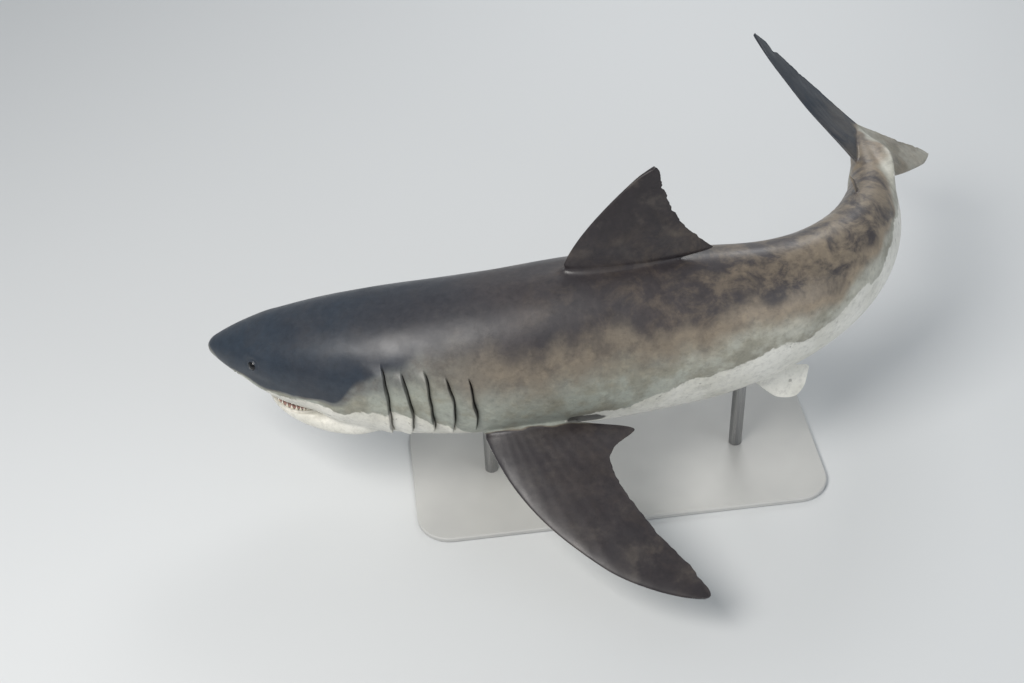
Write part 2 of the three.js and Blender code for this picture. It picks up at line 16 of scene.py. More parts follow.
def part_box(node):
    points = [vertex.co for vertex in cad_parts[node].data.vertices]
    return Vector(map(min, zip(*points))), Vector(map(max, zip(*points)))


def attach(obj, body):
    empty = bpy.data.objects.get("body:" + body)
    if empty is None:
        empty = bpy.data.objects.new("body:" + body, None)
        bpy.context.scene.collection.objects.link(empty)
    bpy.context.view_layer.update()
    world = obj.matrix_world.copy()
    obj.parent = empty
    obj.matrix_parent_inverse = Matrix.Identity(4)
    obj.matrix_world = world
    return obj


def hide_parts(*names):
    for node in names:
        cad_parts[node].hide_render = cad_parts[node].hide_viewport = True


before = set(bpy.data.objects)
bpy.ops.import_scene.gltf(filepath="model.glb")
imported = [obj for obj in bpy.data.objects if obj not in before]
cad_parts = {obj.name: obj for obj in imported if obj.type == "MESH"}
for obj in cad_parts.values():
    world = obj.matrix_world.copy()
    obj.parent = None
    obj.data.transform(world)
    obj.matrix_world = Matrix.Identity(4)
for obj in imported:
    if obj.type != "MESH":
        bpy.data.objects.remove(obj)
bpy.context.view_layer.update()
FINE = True
rng = np.random.default_rng(7)

# ---- Sizes shared with the CAD part ----
LENGTH = 3.6
AXIS_HEIGHT = 0.64
BEND, BEND_START, BEND_END = math.radians(83), 0.45, 0.846
HEAD_TURN, HEAD_TURN_START, HEAD_TURN_END = math.radians(17), 0.06, 0.36
TAIL_ROLL, TAIL_ROLL_START, TAIL_ROLL_END = math.radians(53), 0.58, 0.88
PITCH, PITCH_CENTRE = math.radians(2.6), 0.4

# place, top, underside, half width, height of the widest line, squareness below that line
STATIONS = np.array([
    (0.0, 0.0, 0.0, 0.0, 0.0, 2.15),
    (0.004, 0.0062, -0.0055, 0.0075, 0.0, 2.15),
    (0.012, 0.0118, -0.01, 0.0142, 0.0, 2.15),
    (0.03, 0.0216, -0.0182, 0.0258, 0.0, 2.2),
    (0.048, 0.0298, -0.0252, 0.0346, -0.0005, 2.5),
    (0.06, 0.0345, -0.0288, 0.0398, -0.001, 2.9),
    (0.08, 0.041, -0.0332, 0.047, -0.002, 3.3),
    (0.1, 0.047, -0.0365, 0.0532, -0.003, 3.1),
    (0.118, 0.052, -0.0435, 0.0577, -0.004, 2.6),
    (0.15, 0.0588, -0.065, 0.0642, -0.004, 2.3),
    (0.21, 0.0685, -0.0765, 0.0712, -0.003, 2.2),
    (0.28, 0.077, -0.082, 0.0742, 0.0, 2.15),
    (0.37, 0.084, -0.085, 0.074, 0.001, 2.15),
    (0.47, 0.0805, -0.0825, 0.066, 0.003, 2.15),
    (0.57, 0.066, -0.0665, 0.0535, 0.004, 2.15),
    (0.66, 0.0515, -0.0495, 0.041, 0.005, 2.15),
    (0.74, 0.0355, -0.0325, 0.0285, 0.004, 2.15),
    (0.8, 0.0222, -0.0195, 0.0193, 0.002, 2.15),
    (0.85, 0.016, -0.014, 0.0124, 0.001, 2.15),
    (0.888, 0.004, -0.004, 0.003, 0.0, 2.15),
])
ROUNDNESS = 2.15  # how square a section is above its widest line, away from the ridge
RIDGE = dict(roundness=1.85, starts=0.14, full=0.3, fades=0.5, ends=0.7)  # a low ridge along the back
KEEL = dict(at=0.815, spread=0.037, out=0.0125, thick=0.0055, height=0.001)
EYE = dict(u=0.0615, z=0.0105, radius=0.0061, out=0.0018)
GILLS = dict(count=5, first=0.1865, step=0.0182, top=0.036, bottom=-0.054)
# place, top, underside, half width of the lower jaw
JAW = np.array([
    (0.0565, -0.041, -0.0425, 0.001),
    (0.059, -0.0402, -0.0468, 0.0125),
    (0.065, -0.0402, -0.0508, 0.0225),
    (0.076, -0.0402, -0.0546, 0.0328),
    (0.092, -0.0396, -0.0588, 0.0425),
    (0.112, -0.0372, -0.0625, 0.0508),
    (0.132, -0.036, -0.065, 0.0556),
    (0.152, -0.036, -0.0658, 0.057),
    (0.175, -0.036, -0.062, 0.054),
])
UPPER_TEETH = dict(height=0.0056, front=0.0575, back=0.11, reach=0.0435)
LOWER_TEETH = dict(height=0.005, front=0.0615, back=0.11, reach=0.0425)
FIRST_DORSAL = dict(origin=0.354, base=0.103, height=0.106, rake=0.083, rear_tip=0.15, foot=0.0815)
SECOND_DORSAL = dict(origin=0.722, base=0.016, height=0.0165, rake=0.015, rear_tip=0.034, up=1)
ANAL = dict(origin=0.738, base=0.017, height=0.019, rake=0.018, rear_tip=0.036, up=-1)
PECTORAL = dict(origin=0.264, v=0.05, z=-0.048, span=0.197, sweep=0.143, droop=math.radians(19))
PELVIC = dict(origin=0.52, v=0.022, z=-0.0555, span=0.042, sweep=0.03, droop=math.radians(60))
CAUDAL_FORK = 0.9
UPPER_LOBE = dict(foot=0.803, tip=0.97, height=0.135, up=1)
LOWER_LOBE = dict(foot=0.814, tip=0.93, height=0.11, up=-1)


# ---- Curves and the pose ----
def smoothstep(a, b, x):
    t = np.clip((np.asarray(x, float) - a) / (b - a), 0, 1)
    return t * t * (3 - 2 * t)


def plateau(x, starts, full, fades, ends):
    """1 from full to fades, easing to 0 at starts and at ends."""
    return smoothstep(starts, full, x) * (1 - smoothstep(fades, ends, x))


def bump(x, centre, width):
    return np.exp(-(((x - centre) / width) ** 2))


def mix(a, b, t):
    return a + (b - a) * t


def curve_through(xs, ys):
    """A smooth curve through the points that never overshoots."""
    h = np.diff(xs)
    rise = np.diff(ys) / h
    tangent = np.concatenate([[rise[0]], np.zeros(len(xs) - 2), [rise[-1]]])
    for i in range(1, len(xs) - 1):
        if rise[i - 1] * rise[i] > 0:
            w1, w2 = 2 * h[i] + h[i - 1], h[i] + 2 * h[i - 1]
            tangent[i] = (w1 + w2) / (w1 / rise[i - 1] + w2 / rise[i])

    def at(x):
        x = np.clip(x, xs[0], xs[-1])
        i = np.clip(np.searchsorted(xs, x, side="right") - 1, 0, len(xs) - 2)
        t = (x - xs[i]) / h[i]
        a = ys[i] * (1 + 2 * t) + h[i] * tangent[i] * t
        b = ys[i + 1] * (3 - 2 * t) + h[i] * tangent[i + 1] * (t - 1)
        return (1 - t) ** 2 * a + t**2 * b

    return at


def curves_through(table):
    """A curve for each column after the first, which holds their places."""
    return [curve_through(table[:, 0], column) for column in table.T[1:]]


body_top, body_bottom, body_half, body_wide, body_square = curves_through(STATIONS)
JAW_CURVES = curves_through(JAW)
jaw_top = JAW_CURVES[0]


def heading_at(u):
    turn = HEAD_TURN * (1 - smoothstep(HEAD_TURN_START, HEAD_TURN_END, u))
    return BEND * smoothstep(BEND_START, BEND_END, u) - turn


def spine(component):
    """The bent axis along x or y, from 0 at the pitch's centre."""
    step = SPINE_U[1]
    way = np.concatenate([[0], np.cumsum(component(heading_at(SPINE_U[:-1] + step / 2)) * step)])
    return way - np.interp(PITCH_CENTRE, SPINE_U, way)


SPINE_U = np.linspace(0, 1.1, 1101)
SPINE_X, SPINE_Y = spine(np.cos), spine(np.sin)


def posed(p):
    """From the straight shark, (n, 3) in shares of its length, to metres in the pose, before the shift."""
    u, v, z = p[..., 0], p[..., 1], p[..., 2]
    roll = TAIL_ROLL * smoothstep(TAIL_ROLL_START, TAIL_ROLL_END, u)
    left = v * np.cos(roll) - z * np.sin(roll)
    up = z * np.cos(roll) + v * np.sin(roll)
    heading = heading_at(u)
    x = np.interp(u, SPINE_U, SPINE_X) + left * np.sin(heading)
    y = np.interp(u, SPINE_U, SPINE_Y) - left * np.cos(heading)
    c, s = math.cos(PITCH), math.sin(PITCH)
    return np.stack([(x * c - up * s) * LENGTH, y * LENGTH, (x * s + up * c) * LENGTH + AXIS_HEIGHT], -1)


def roundness_at(u):
    """How square a section is above its widest line."""
    ridge = plateau(u, RIDGE["starts"], RIDGE["full"], RIDGE["fades"], RIDGE["ends"])
    return mix(ROUNDNESS, RIDGE["roundness"], ridge)


def flank_at(u, z):
    """Half width of the body at a height."""
    wide = body_wide(u)
    power = np.where(z > wide, roundness_at(u), body_square(u))
    reach = np.where(z > wide, body_top(u) - wide, wide - body_bottom(u))
    share = np.clip(np.abs(z - wide) / np.maximum(reach, 1e-6), 0, 1)
    return body_half(u) * (1 - share**power) ** (1 / power)


def underside_at(u, v):
    power = body_square(u)
    side = np.clip(np.abs(v) / body_half(u), 0, 0.999)
    return body_wide(u) - (1 - side**power) ** (1 / power) * (body_wide(u) - body_bottom(u))


def eye_centre(side):
    out = float(flank_at(EYE["u"], EYE["z"])) - EYE["radius"] + EYE["out"]
    return np.array([EYE["u"], side * out, EYE["z"]])


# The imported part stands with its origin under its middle: this is how far the pose moved to get there.
_low, _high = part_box("eye_left")
SHIFT = np.array((_low + _high) / 2) - posed(eye_centre(1)[None])[0]
SHIFT[2] = 0.0


# ---- Mesh helpers ----
def linked(name, mesh):
    """A new object of the mesh, in the scene."""
    obj = bpy.data.objects.new(name, mesh)
    bpy.context.scene.collection.objects.link(obj)
    return obj


def mesh_object(name, points, quads, tris=()):
    """A mesh object from numpy arrays of points and of faces."""
    quads, tris = np.asarray(quads, np.int32).reshape(-1, 4), np.asarray(tris, np.int32).reshape(-1, 3)
    corners = np.concatenate([quads.ravel(), tris.ravel()])
    starts = np.concatenate([np.arange(len(quads)) * 4, quads.size + np.arange(len(tris)) * 3])
    mesh = bpy.data.meshes.new(name)
    mesh.vertices.add(len(points))
    mesh.vertices.foreach_set("co", np.asarray(points, np.float32).ravel())
    mesh.loops.add(len(corners))
    mesh.loops.foreach_set("vertex_index", corners)
    mesh.polygons.add(len(starts))
    mesh.polygons.foreach_set("loop_start", starts.astype(np.int32))
    mesh.update(calc_edges=True)
    mesh.validate()
    return linked(name, mesh)


def loft(name, rings, tips=False):
    """A closed mesh through rings of equal size. Each end closes on its middle, as a tip, or flat."""
    count, around = rings.shape[:2]
    points = rings.reshape(-1, 3)
    i, j = np.meshgrid(np.arange(count - 1), np.arange(around), indexing="ij")
    k = (j + 1) % around
    quads = np.stack([i * around + j, (i + 1) * around + j, (i + 1) * around + k, i * around + k], -1)
    last_ring = (count - 1) * around
    if tips:
        ring = np.arange(around)
        cap = np.stack([np.full(around, len(points)), ring, np.roll(ring, -1)], -1)
        to_last = [1, last_ring, last_ring]
        points = np.concatenate([points, [rings[0].mean(0), rings[-1].mean(0)]])
    else:
        zigzag = np.array([(m + 1) // 2 if m % 2 else (around - m // 2) % around for m in range(around)])
        cap = np.stack([zigzag[:-2], zigzag[1:-1], zigzag[2:]], -1)
        cap[1::2] = cap[1::2, ::-1]
        to_last = last_ring
    obj = mesh_object(name, points, quads, np.concatenate([cap, (cap + to_last)[:, ::-1]]))
    make_outward(obj)
    return obj


def make_outward(obj):
    bm = bmesh.new()
    bm.from_mesh(obj.data)
    bmesh.ops.recalc_face_normals(bm, faces=bm.faces)
    if bm.calc_volume(signed=True) < 0:
        bmesh.ops.reverse_faces(bm, faces=bm.faces)
    bm.to_mesh(obj.data)
    bm.free()


def combine(obj, other, operation):
    """Joins the other closed mesh to this one, or cuts it away, and removes the other."""
    modifier = obj.modifiers.new("combine", "BOOLEAN")
    modifier.operation, modifier.solver, modifier.object = operation, "MANIFOLD", other
    depsgraph = bpy.context.evaluated_depsgraph_get()
    mesh = bpy.data.meshes.new_from_object(obj.evaluated_get(depsgraph))
    obj.modifiers.clear()
    old = obj.data
    obj.data = mesh
    bpy.data.meshes.remove(old)
    bpy.data.objects.remove(other)


def joined_objects(name, objects):
    """One mesh object from several, in order."""
    bm = bmesh.new()
    for piece in objects:
        bm.from_mesh(piece.data)
        bpy.data.objects.remove(piece)
    mesh = bpy.data.meshes.new(name)
    bm.to_mesh(mesh)
    bm.free()
    return linked(name, mesh)


def read(items, key, kind=np.int32, width=1):
    """One property of a mesh's vertices, edges, corners or faces, as an array."""
    values = np.zeros(len(items) * width, kind)
    items.foreach_get(key, values)
    return values.reshape(-1, width) if width > 1 else values


def points_of(mesh):
    return read(mesh.vertices, "co", np.float32, 3).astype(float)


def edges_of(mesh):
    return read(mesh.edges, "vertices", width=2)


def set_points(mesh, points):
    mesh.vertices.foreach_set("co", np.asarray(points, np.float32).ravel())
    mesh.update()


def set_attribute(mesh, name, values):
    kind, key = ("FLOAT", "value") if values.ndim == 1 else ("FLOAT_VECTOR", "vector")
    mesh.attributes.new(name, kind, "POINT").data.foreach_set(key, values.astype(np.float32).ravel())


def finished(obj, material):
    """The object, with smooth faces that are all of the one material."""
    mesh = obj.data
    mesh.materials.clear()
    mesh.materials.append(material)
    mesh.polygons.foreach_set("material_index", np.zeros(len(mesh.polygons), np.int32))
    mesh.polygons.foreach_set("use_smooth", np.ones(len(mesh.polygons), bool))
    mesh.update()
    return obj


# ---- The body's loft ----
SLITS = GILLS["first"] + GILLS["step"] * np.arange(GILLS["count"])
GILL_WINDOW = (0.150, 0.180, 0.268, 0.292)  # where ring lines start, and stop, following the slits' curve
BODY_ENDS = (0.0006, 0.888)
NOSTRIL = dict(u=0.0362, z=-0.0098, lean=math.radians(52), reach=0.0105)
# Swellings and hollows of the flanks: place, its spread, height, its spread, metres outwards
SWELLINGS = [
    (EYE["u"] + 0.001, 0.014, EYE["z"] + 0.0105, 0.0045, 0.0042),  # a brow over the eye
    (EYE["u"] + 0.004, 0.017, EYE["z"] - 0.0125, 0.006, -0.0026),  # a soft hollow under it
    (0.138, 0.02, -0.028, 0.017, 0.0065),  # the cheek behind the mouth
    (0.150, 0.018, 0.034, 0.012, -0.0030),  # the nape
    (0.282, 0.018, -0.034, 0.016, 0.0045),  # the shoulder over the pectoral fin
    (0.345, 0.035, -0.046, 0.012, -0.0050),  # behind that fin's root
]


def signed_power(x, p):
    return np.sign(x) * np.abs(x) ** p


def spaced(start, end, spacing):
    """Places from start to end, as far apart as spacing(place) says in metres."""
    places = [start]
    while places[-1] < end:
        places.append(places[-1] + float(spacing(places[-1])) / LENGTH)
    places = np.array(places)
    return start + (places - start) * (end - start) / (places[-1] - start)


def grid(places, angles):
    """The place and the angle of every point of a loft's rings."""
    return np.meshgrid(places, angles, indexing="ij")


def ring_spacing(u):
    """Metres between two rings: finest at the snout's tip, the eyes, the nostrils and the gill slits."""
    step = 0.0032 if u < 0.275 else (0.0062 if u < 0.5 else 0.0052)
    step = mix(0.0007, step, min(u / 0.006, 1))
    step *= 1 - 0.78 * bump(u, EYE["u"], 0.0062)
    step *= 1 - 0.55 * bump(u, NOSTRIL["u"] + 0.0003, 0.0045)
    if SLITS[0] - 0.01 < u < SLITS[-1] + 0.01:
        from_slit = min(abs(u - slit - 0.0006) for slit in SLITS) * LENGTH
        step *= mix(0.19, 1, min(max(from_slit - 0.004, 0) / 0.013, 1))
    return step if FINE else step * 2.4


def angles_round():
    """Angles from the top of a ring, closer together at the eyes and the mouth."""
    count = 420 if FINE else 150
    eye_angle, mouth_angle = math.radians(72.7), 2.1
    fine = np.linspace(0, 2 * np.pi, 7201)
    from_top = np.minimum(fine, 2 * np.pi - fine)
    density = 1 + 5.0 * bump(from_top, eye_angle, math.radians(6)) + 0.5 * bump(from_top, mouth_angle, 0.5)
    total = np.concatenate([[0], np.cumsum((density[1:] + density[:-1]) / 2)])
    return np.interp(np.arange(count) / count * total[-1], total, fine)


def slit_share(z):
    """Height along the gill slits: 0 at their lower ends and 1 at their upper ends."""
    return (z - GILLS["bottom"]) / (GILLS["top"] - GILLS["bottom"])


def gill_bow(z):
    """How far back a slit lies at a height: slits bow backwards and lean forwards at their lower ends."""
    t = slit_share(z)
    return 0.004 * np.sin(np.clip(t, 0, 1) * np.pi) - 0.0035 * np.clip(0.35 - t, 0, 0.5) ** 1.5


def slit_reach(k, z):
    """1 along slit k and 0 past its ends. The rear slits are shorter."""
    share = k / (GILLS["count"] - 1)
    t = slit_share(z) + 0.025 * math.sin(k * 2.3)
    low, high = 0.14 * share, 1 - 0.11 * share
    return plateau(t, low - 0.03, low + 0.08, high - 0.1, high + 0.03)


def body_rings(places, angles):
    """The smooth body: straight positions for each ring and angle, and the ring's own place."""
    s, a = grid(places, angles)
    power = 2 / np.where(np.cos(a) > 0, roundness_at(s), body_square(s))
    up, side = signed_power(np.cos(a), power), signed_power(np.sin(a), power)

    def height(u):
        wide = body_wide(u)
        return wide + up * np.where(up > 0, body_top(u) - wide, wide - body_bottom(u))

    # ring lines follow the gill slits' curve near them
    u = s + gill_bow(height(s)) * plateau(s, *GILL_WINDOW)
    z = height(u)
    keel = KEEL["out"] * bump(u, KEEL["at"], KEEL["spread"]) * bump(z, KEEL["height"], KEEL["thick"])
    return np.stack([u, side * body_half(u) + np.sign(side) * keel, z], -1), s


def grid_normals(p):
    n = np.cross(np.roll(p, -1, axis=1) - np.roll(p, 1, axis=1), np.gradient(p, axis=0))
    n = n / np.maximum(np.linalg.norm(n, axis=-1, keepdims=True), 1e-12)
    outward = np.stack([np.zeros_like(p[..., 0]), p[..., 1], p[..., 2] - body_wide(p[..., 0])], -1)
    return n * np.where((n * outward).sum(-1, keepdims=True) < 0, -1, 1)


def metres_behind_slit(k, s, z):
    """A slit strays a little along the body from its smooth curve, as its flap's edge is slack."""
    stray = 0.0008 * np.sin(z * (70 + 9 * k) + k * 2.6) + 0.0003 * np.sin(z * 233 + k * 4.4)
    return (s - SLITS[k] - stray) * LENGTH


def gill_relief(s, z):
    """Metres out of the surface, and the shift back along it, in shares of the length. Each flap swells to
    its free edge, and the skin behind the slit starts lower and rises again."""
    out, back = np.zeros_like(s), np.zeros_like(s)
    slack = 1 + 0.30 * np.sin(z * 160 + s * 300)
    for k in range(GILLS["count"]):
        x = metres_behind_slit(k, s, z)
        flap = np.where(x < 0, 0.0125 * np.exp(np.minimum(x, 0) / 0.026), 0) * slack
        hollow = np.where(x >= 0, -0.0105 * np.exp(-np.maximum(x, 0) / 0.021), 0)
        cut = -0.0105 * bump(x, 0.0030, 0.0026)
        reach = slit_reach(k, z)
        out += reach * (flap + hollow + cut)
        back += reach * 0.0034 * bump(x, -0.0002, 0.0020)
    return out, back / LENGTH


def gill_shadow(u, z):
    """Painted shade down in the gill slits: 1 down in a slit, 0 outside it. The last slit is the darkest."""
    s = u - gill_bow(z) * plateau(u, *GILL_WINDOW)  # the ring that a point lies on
    dark = np.zeros_like(s)
    for k in range(GILLS["count"]):
        # depth is how strong each slit's painted shade is, and opening is how wide it is
        reach, depth = slit_reach(k, z), 1 if k == GILLS["count"] - 1 else 0.82
        opening = 0.0012 + 0.0017 * reach * np.sin(np.clip(slit_share(z), 0, 1) * np.pi)
        dark = np.maximum(dark, depth * reach * bump(metres_behind_slit(k, s, z), 0.0036, opening))
    return dark


def eye_axis(side):
    """The direction that an eye faces: the head's own outward direction where the eye sits."""
    u, z, step = EYE["u"], EYE["z"], 1e-3
    along, up = (
        float(flank_at(u + du, z + dz) - flank_at(u - du, z - dz)) / (2 * step)
        for du, dz in ((step, 0), (0, step))
    )
    n = np.array([-along, 1.0, -up])
    return n / np.linalg.norm(n) * [1, side, 1]


def eye_relief(p):
    """Metres out of the surface round the eyes: lids that lie on the eyeball, an opening, and a fold."""
    out = np.zeros(p.shape[:-1])
    radius = EYE["radius"] * LENGTH
    opening, lid, socket_depth = 0.0155, 0.0013, 0.013
    for side in (1, -1):
        offset = (p - eye_centre(side)) * LENGTH
        height = offset @ eye_axis(side)
        d = np.linalg.norm(offset - height[..., None] * eye_axis(side), axis=-1)
        near = (d < 0.09) & (height > -0.01)
        ball = np.sqrt(np.maximum(radius**2 - d**2, 0))
        cover = np.maximum(ball + lid * smoothstep(radius + 0.003, opening, d) - height, 0)
        cover *= 1 - smoothstep(radius * 0.86, radius * 1.12, d)
        rim = 0.0012 * bump(d, opening + 0.0022, 0.0022)
        fold = -0.0011 * bump(d, opening + 0.0105, 0.0026) * smoothstep(-0.01, 0.006, offset[..., 2])
        on_lid = smoothstep(opening - 0.0042, opening + 0.0004, d)
        out += np.where(near, (cover + rim + fold) * on_lid - socket_depth * (1 - on_lid), 0)
    return out


def nostril_relief(u, z):
    """A short slanted slit with a raised flap before it."""
    a, b = (u - NOSTRIL["u"]) * LENGTH, (z - NOSTRIL["z"]) * LENGTH
    c, s = math.cos(NOSTRIL["lean"]), math.sin(NOSTRIL["lean"])
    across = b * c - a * s
    shape = 0.0024 * bump(across, 0.0055, 0.0036) + 0.0012 * bump(across, -0.006, 0.004)
    return bump(a * c + b * s, 0, NOSTRIL["reach"]) * (shape - 0.0085 * bump(across, 0, 0.0021))


def folds_of_the_turn(u, v, z):
    """Shallow upright folds where the skin is squeezed, on the inner side of the neck's and tail's turns."""
    inner = smoothstep(0.0, 1.0, -v / (0.75 * body_half(u)))
    phase = u * LENGTH / 0.052 + 0.55 * np.sin(z * 41 + u * 23) + 0.35 * np.sin(z * 95 - u * 61)
    ripple = np.cos(2 * np.pi * phase) + 0.45 * np.cos(2 * np.pi * phase * 1.7 + 1.3)
    where = 0.9 * bump(u, 0.69, 0.075) + 0.45 * bump(u, 0.305, 0.03)
    return 0.0011 * ripple * inner * where * bump(z - body_wide(u), 0, 0.045)


def body_detail(p, s):
    """Metres out of the body's surface, and the shift back along it at the gills."""
    u, v, z = p[..., 0], p[..., 1], p[..., 2]
    out, back = gill_relief(s, z)
    out += eye_relief(p) + nostril_relief(u, z) + folds_of_the_turn(u, v, z)
    for place, length, height, depth, size in SWELLINGS:
        out += size * bump(u, place, length) * bump(z, height, depth)
    # crease running back and down from the corner of the mouth
    fold_u, fold_z = u - 0.1185, z + 0.0375
    out -= 0.0035 * bump((fold_z + 0.8 * fold_u) * LENGTH, 0, 0.0032) * bump(fold_u, 0.004, 0.0075)
    # groove along each side of the back, between its muscles
    groove = z - mix(body_wide(u), body_top(u), 0.30)
    out -= 0.0016 * bump(groove, 0, 0.0045) * plateau(u, 0.3, 0.42, 0.72, 0.8)
    # pits above and below the root of the tail fin
    pit = bump(u, 0.7995, 0.0034) * smoothstep(0.45, 0.85, np.abs(z - 0.001) / 0.0205)
    out -= 0.0055 * pit * bump(v, 0, 0.0085)
    return out, back


def arc_of(teeth, samples=80):
    """The line that a jaw's teeth stand on, on the shark's left side: (u, v)."""
    t = np.linspace(0, 1.04, samples)
    u = mix(teeth["front"], teeth["back"], t**1.7)
    return np.stack([u, teeth["reach"] * np.sin(t * np.pi / 2) ** 0.85], -1)


def distance_outside(teeth, u, v):
    """Distance from a jaw's line of teeth, positive outside it."""
    arc = arc_of(teeth)
    v = np.abs(v)
    d = np.full(u.shape, 9.0)
    for a, b in zip(arc[:-1], arc[1:]):
        ab = b - a
        t = np.clip(((u - a[0]) * ab[0] + (v - a[1]) * ab[1]) / (ab @ ab), 0, 1)
        d = np.minimum(d, np.hypot(u - a[0] - t * ab[0], v - a[1] - t * ab[1]))
    outside = (u < teeth["front"]) | (v > np.interp(u, arc[:, 0], arc[:, 1]))
    return np.where(outside, d, -d)


def build_body():
    p, s = body_rings(spaced(*BODY_ENDS, ring_spacing), angles_round())
    out, back = body_detail(p, s)
    p += grid_normals(p) * (out / LENGTH)[..., None]
    p[..., 0] += back
    # upper lip: a soft ridge outside the line of teeth, with the gum's groove inside it
    u, v, z = p[..., 0], p[..., 1], p[..., 2]
    below = smoothstep(0.0, -0.012, z - body_wide(u)) * plateau(u, 0.045, 0.055, 0.108, 0.122)
    d = distance_outside(UPPER_TEETH, u, v)
    p[..., 2] += below * (-0.0016 * bump(d, 0.0026, 0.0017) + 0.0006 * bump(d, -0.0004, 0.0012))
    p[..., 1] *= 1 + below * 0.006 * bump(d, 0.0035, 0.002)
    return loft("skin", p, tips=True)


# ---- The lower jaw and the mouth ----
# place, top, floor, half width of the open mouth inside the teeth
MOUTH = np.array([
    (0.0655, -0.031, -0.042, 0.006),
    (0.068, -0.0275, -0.0435, 0.0125),
    (0.074, -0.0245, -0.0445, 0.0205),
    (0.084, -0.0225, -0.0455, 0.0275),
    (0.096, -0.0225, -0.0458, 0.0328),
    (0.108, -0.0245, -0.0455, 0.0355),
    (0.12, -0.0275, -0.0445, 0.034),
    (0.135, -0.031, -0.043, 0.027),
    (0.15, -0.034, -0.041, 0.015),
    (0.158, -0.0365, -0.0385, 0.004),
])


def rings_between(curves, ends, spacing, around, side_power, up_powers):
    """Rings of a top, an underside and a half width, and how far up each point is: 1 at the top, -1 below."""
    top, bottom, half = curves
    u, a = grid(spaced(*ends, lambda place: spacing), np.linspace(0, 2 * np.pi, around, endpoint=False))
    side = signed_power(np.sin(a), side_power)
    up = signed_power(np.cos(a), np.where(np.cos(a) > 0, *up_powers))
    z = (top(u) + bottom(u)) / 2 + up * (top(u) - bottom(u)) / 2
    return np.stack([u, side * half(u), z], -1), up


def build_jaw():
    spacing, around = (0.0026, 200) if FINE else (0.006, 90)
    p, up = rings_between(JAW_CURVES, (0.0566, 0.175), spacing, around, 0.8, (0.55, 0.9))
    # lower lip and gum groove on the jaw's upper face
    d = distance_outside(LOWER_TEETH, p[..., 0], p[..., 1])
    above = smoothstep(0.1, 0.7, up) * plateau(p[..., 0], 0.058, 0.064, 0.108, 0.12)
    p[..., 2] += above * (0.0010 * bump(d, 0.0032, 0.0018) - 0.0005 * bump(d, 0.0, 0.0012))
    return loft("jaw", p, tips=True)


def build_mouth():
    spacing, around = (0.0028, 120) if FINE else (0.006, 60)
    p, up = rings_between(curves_through(MOUTH), (0.0655, 0.158), spacing, around, 0.85, (0.8, 0.8))
    # a low tongue along the floor
    p[..., 2] += 0.0035 * bump(p[..., 1], 0, 0.012) * smoothstep(0.07, 0.085, p[..., 0]) * (up < 0)
    return loft("mouth", p, tips=True)


# ---- Fins ----
FIN_EDGE = 0.0022 / LENGTH
FOIL_STEPS = 34 if FINE else 14
# Waves along a worn trailing edge's span, and each one's share of its depth
WAVES = ((1.7, 0.34), (3.9, 0.24), (8.3, 0.20), (15.1, 0.15), (26.7, 0.10))
# How each fin is made along its span, 0 at the body and 1 at the tip: where its sections start inside the
# body, how many there are (fine and quick), where the tip starts to round off and the share of the chord at
# which it ends, the thickness of the tip, what the root adds and the power between, and the edge's wear
MAKING = dict(
    dorsal=dict(root=-0.2, sections=(170, 40), tip=(0.9, 0.55), thick=(0.0045, 0.0085, 1.5), wear=0.0017),
    small=dict(root=-0.35, sections=(40, 20), tip=(0.8, 0.6), thick=(0.0012, 0.0026, 1)),
    pectoral=dict(root=-0.1, sections=(190, 45), tip=(0.8, 0.62), thick=(0.0035, 0.0095, 1.4), wear=0.0018),
    pelvic=dict(root=-0.1, sections=(50, 22), tip=(0.8, 0.6), thick=(0.0015, 0.0045, 1)),
    caudal=dict(root=-0.012, sections=(170, 45), tip=(0.86, 0.7), thick=(0.0034, 0.008, 2), wear=0.0016),
)


def foil(c):
    """Half thickness of a wing section of thickness 1, along its chord."""
    return 5 * (0.2969 * np.sqrt(c) - 0.126 * c - 0.3516 * c**2 + 0.2843 * c**3 - 0.1036 * c**4)


def fin_mesh(kind, edges, place):
    """A closed fin of sections stacked along its span, closer together near the tip."""
    make = MAKING[kind]
    t = np.linspace(0, 1, make["sections"][0 if FINE else 1])
    spans = make["root"] + (1 - make["root"]) * (0.5 * t + 0.5 * (1 - (1 - t) ** 2.4))
    share = (1 - np.cos(np.arange(FOIL_STEPS + 1) / FOIL_STEPS * np.pi)) / 2
    loop = np.concatenate([share, share[-1:], share[:0:-1]])
    side = np.concatenate([np.ones(FOIL_STEPS + 1), [0], -np.ones(FOIL_STEPS)])
    at_tip, at_root, power = make["thick"]
    rings = []
    for h, worn in zip(spans, worn_edge(spans, make.get("wear", 0))):
        lead, trail = round_tip(*edges(h), h, *make["tip"])
        trail = trail - worn * min(1.0, (trail - lead) / 0.03)
        thickness = at_tip + at_root * (1 - max(h, 0)) ** power
        half = np.maximum(thickness * foil(loop), FIN_EDGE / 2 * np.minimum(1, loop * 12))
        # the trailing edge is rounded: its last point sits just behind the two faces
        u = lead + (trail - lead) * loop + np.where(side == 0, FIN_EDGE * 0.4, 0)
        rings.append(np.stack(np.broadcast_arrays(*place(u, half * side, h)), -1))
    return loft(kind, np.array(rings))


def worn_edge(spans, depth):
    """A slow waver, small tatters and a few nicks along a trailing edge, in shares of the length."""
    if not depth:
        return np.zeros(len(spans))
    wear = sum(
        depth * size * np.sin(spans * 2 * np.pi * waves + rng.uniform(0, 6.28)) for waves, size in WAVES
    )
    for centre in rng.uniform(0.2, 0.92, 5):
        wear += depth * rng.uniform(0.25, 0.75) * bump(spans, centre, rng.uniform(0.009, 0.016))
    return wear * smoothstep(0.08, 0.22, spans) * (1 - 0.6 * smoothstep(0.88, 1, spans))


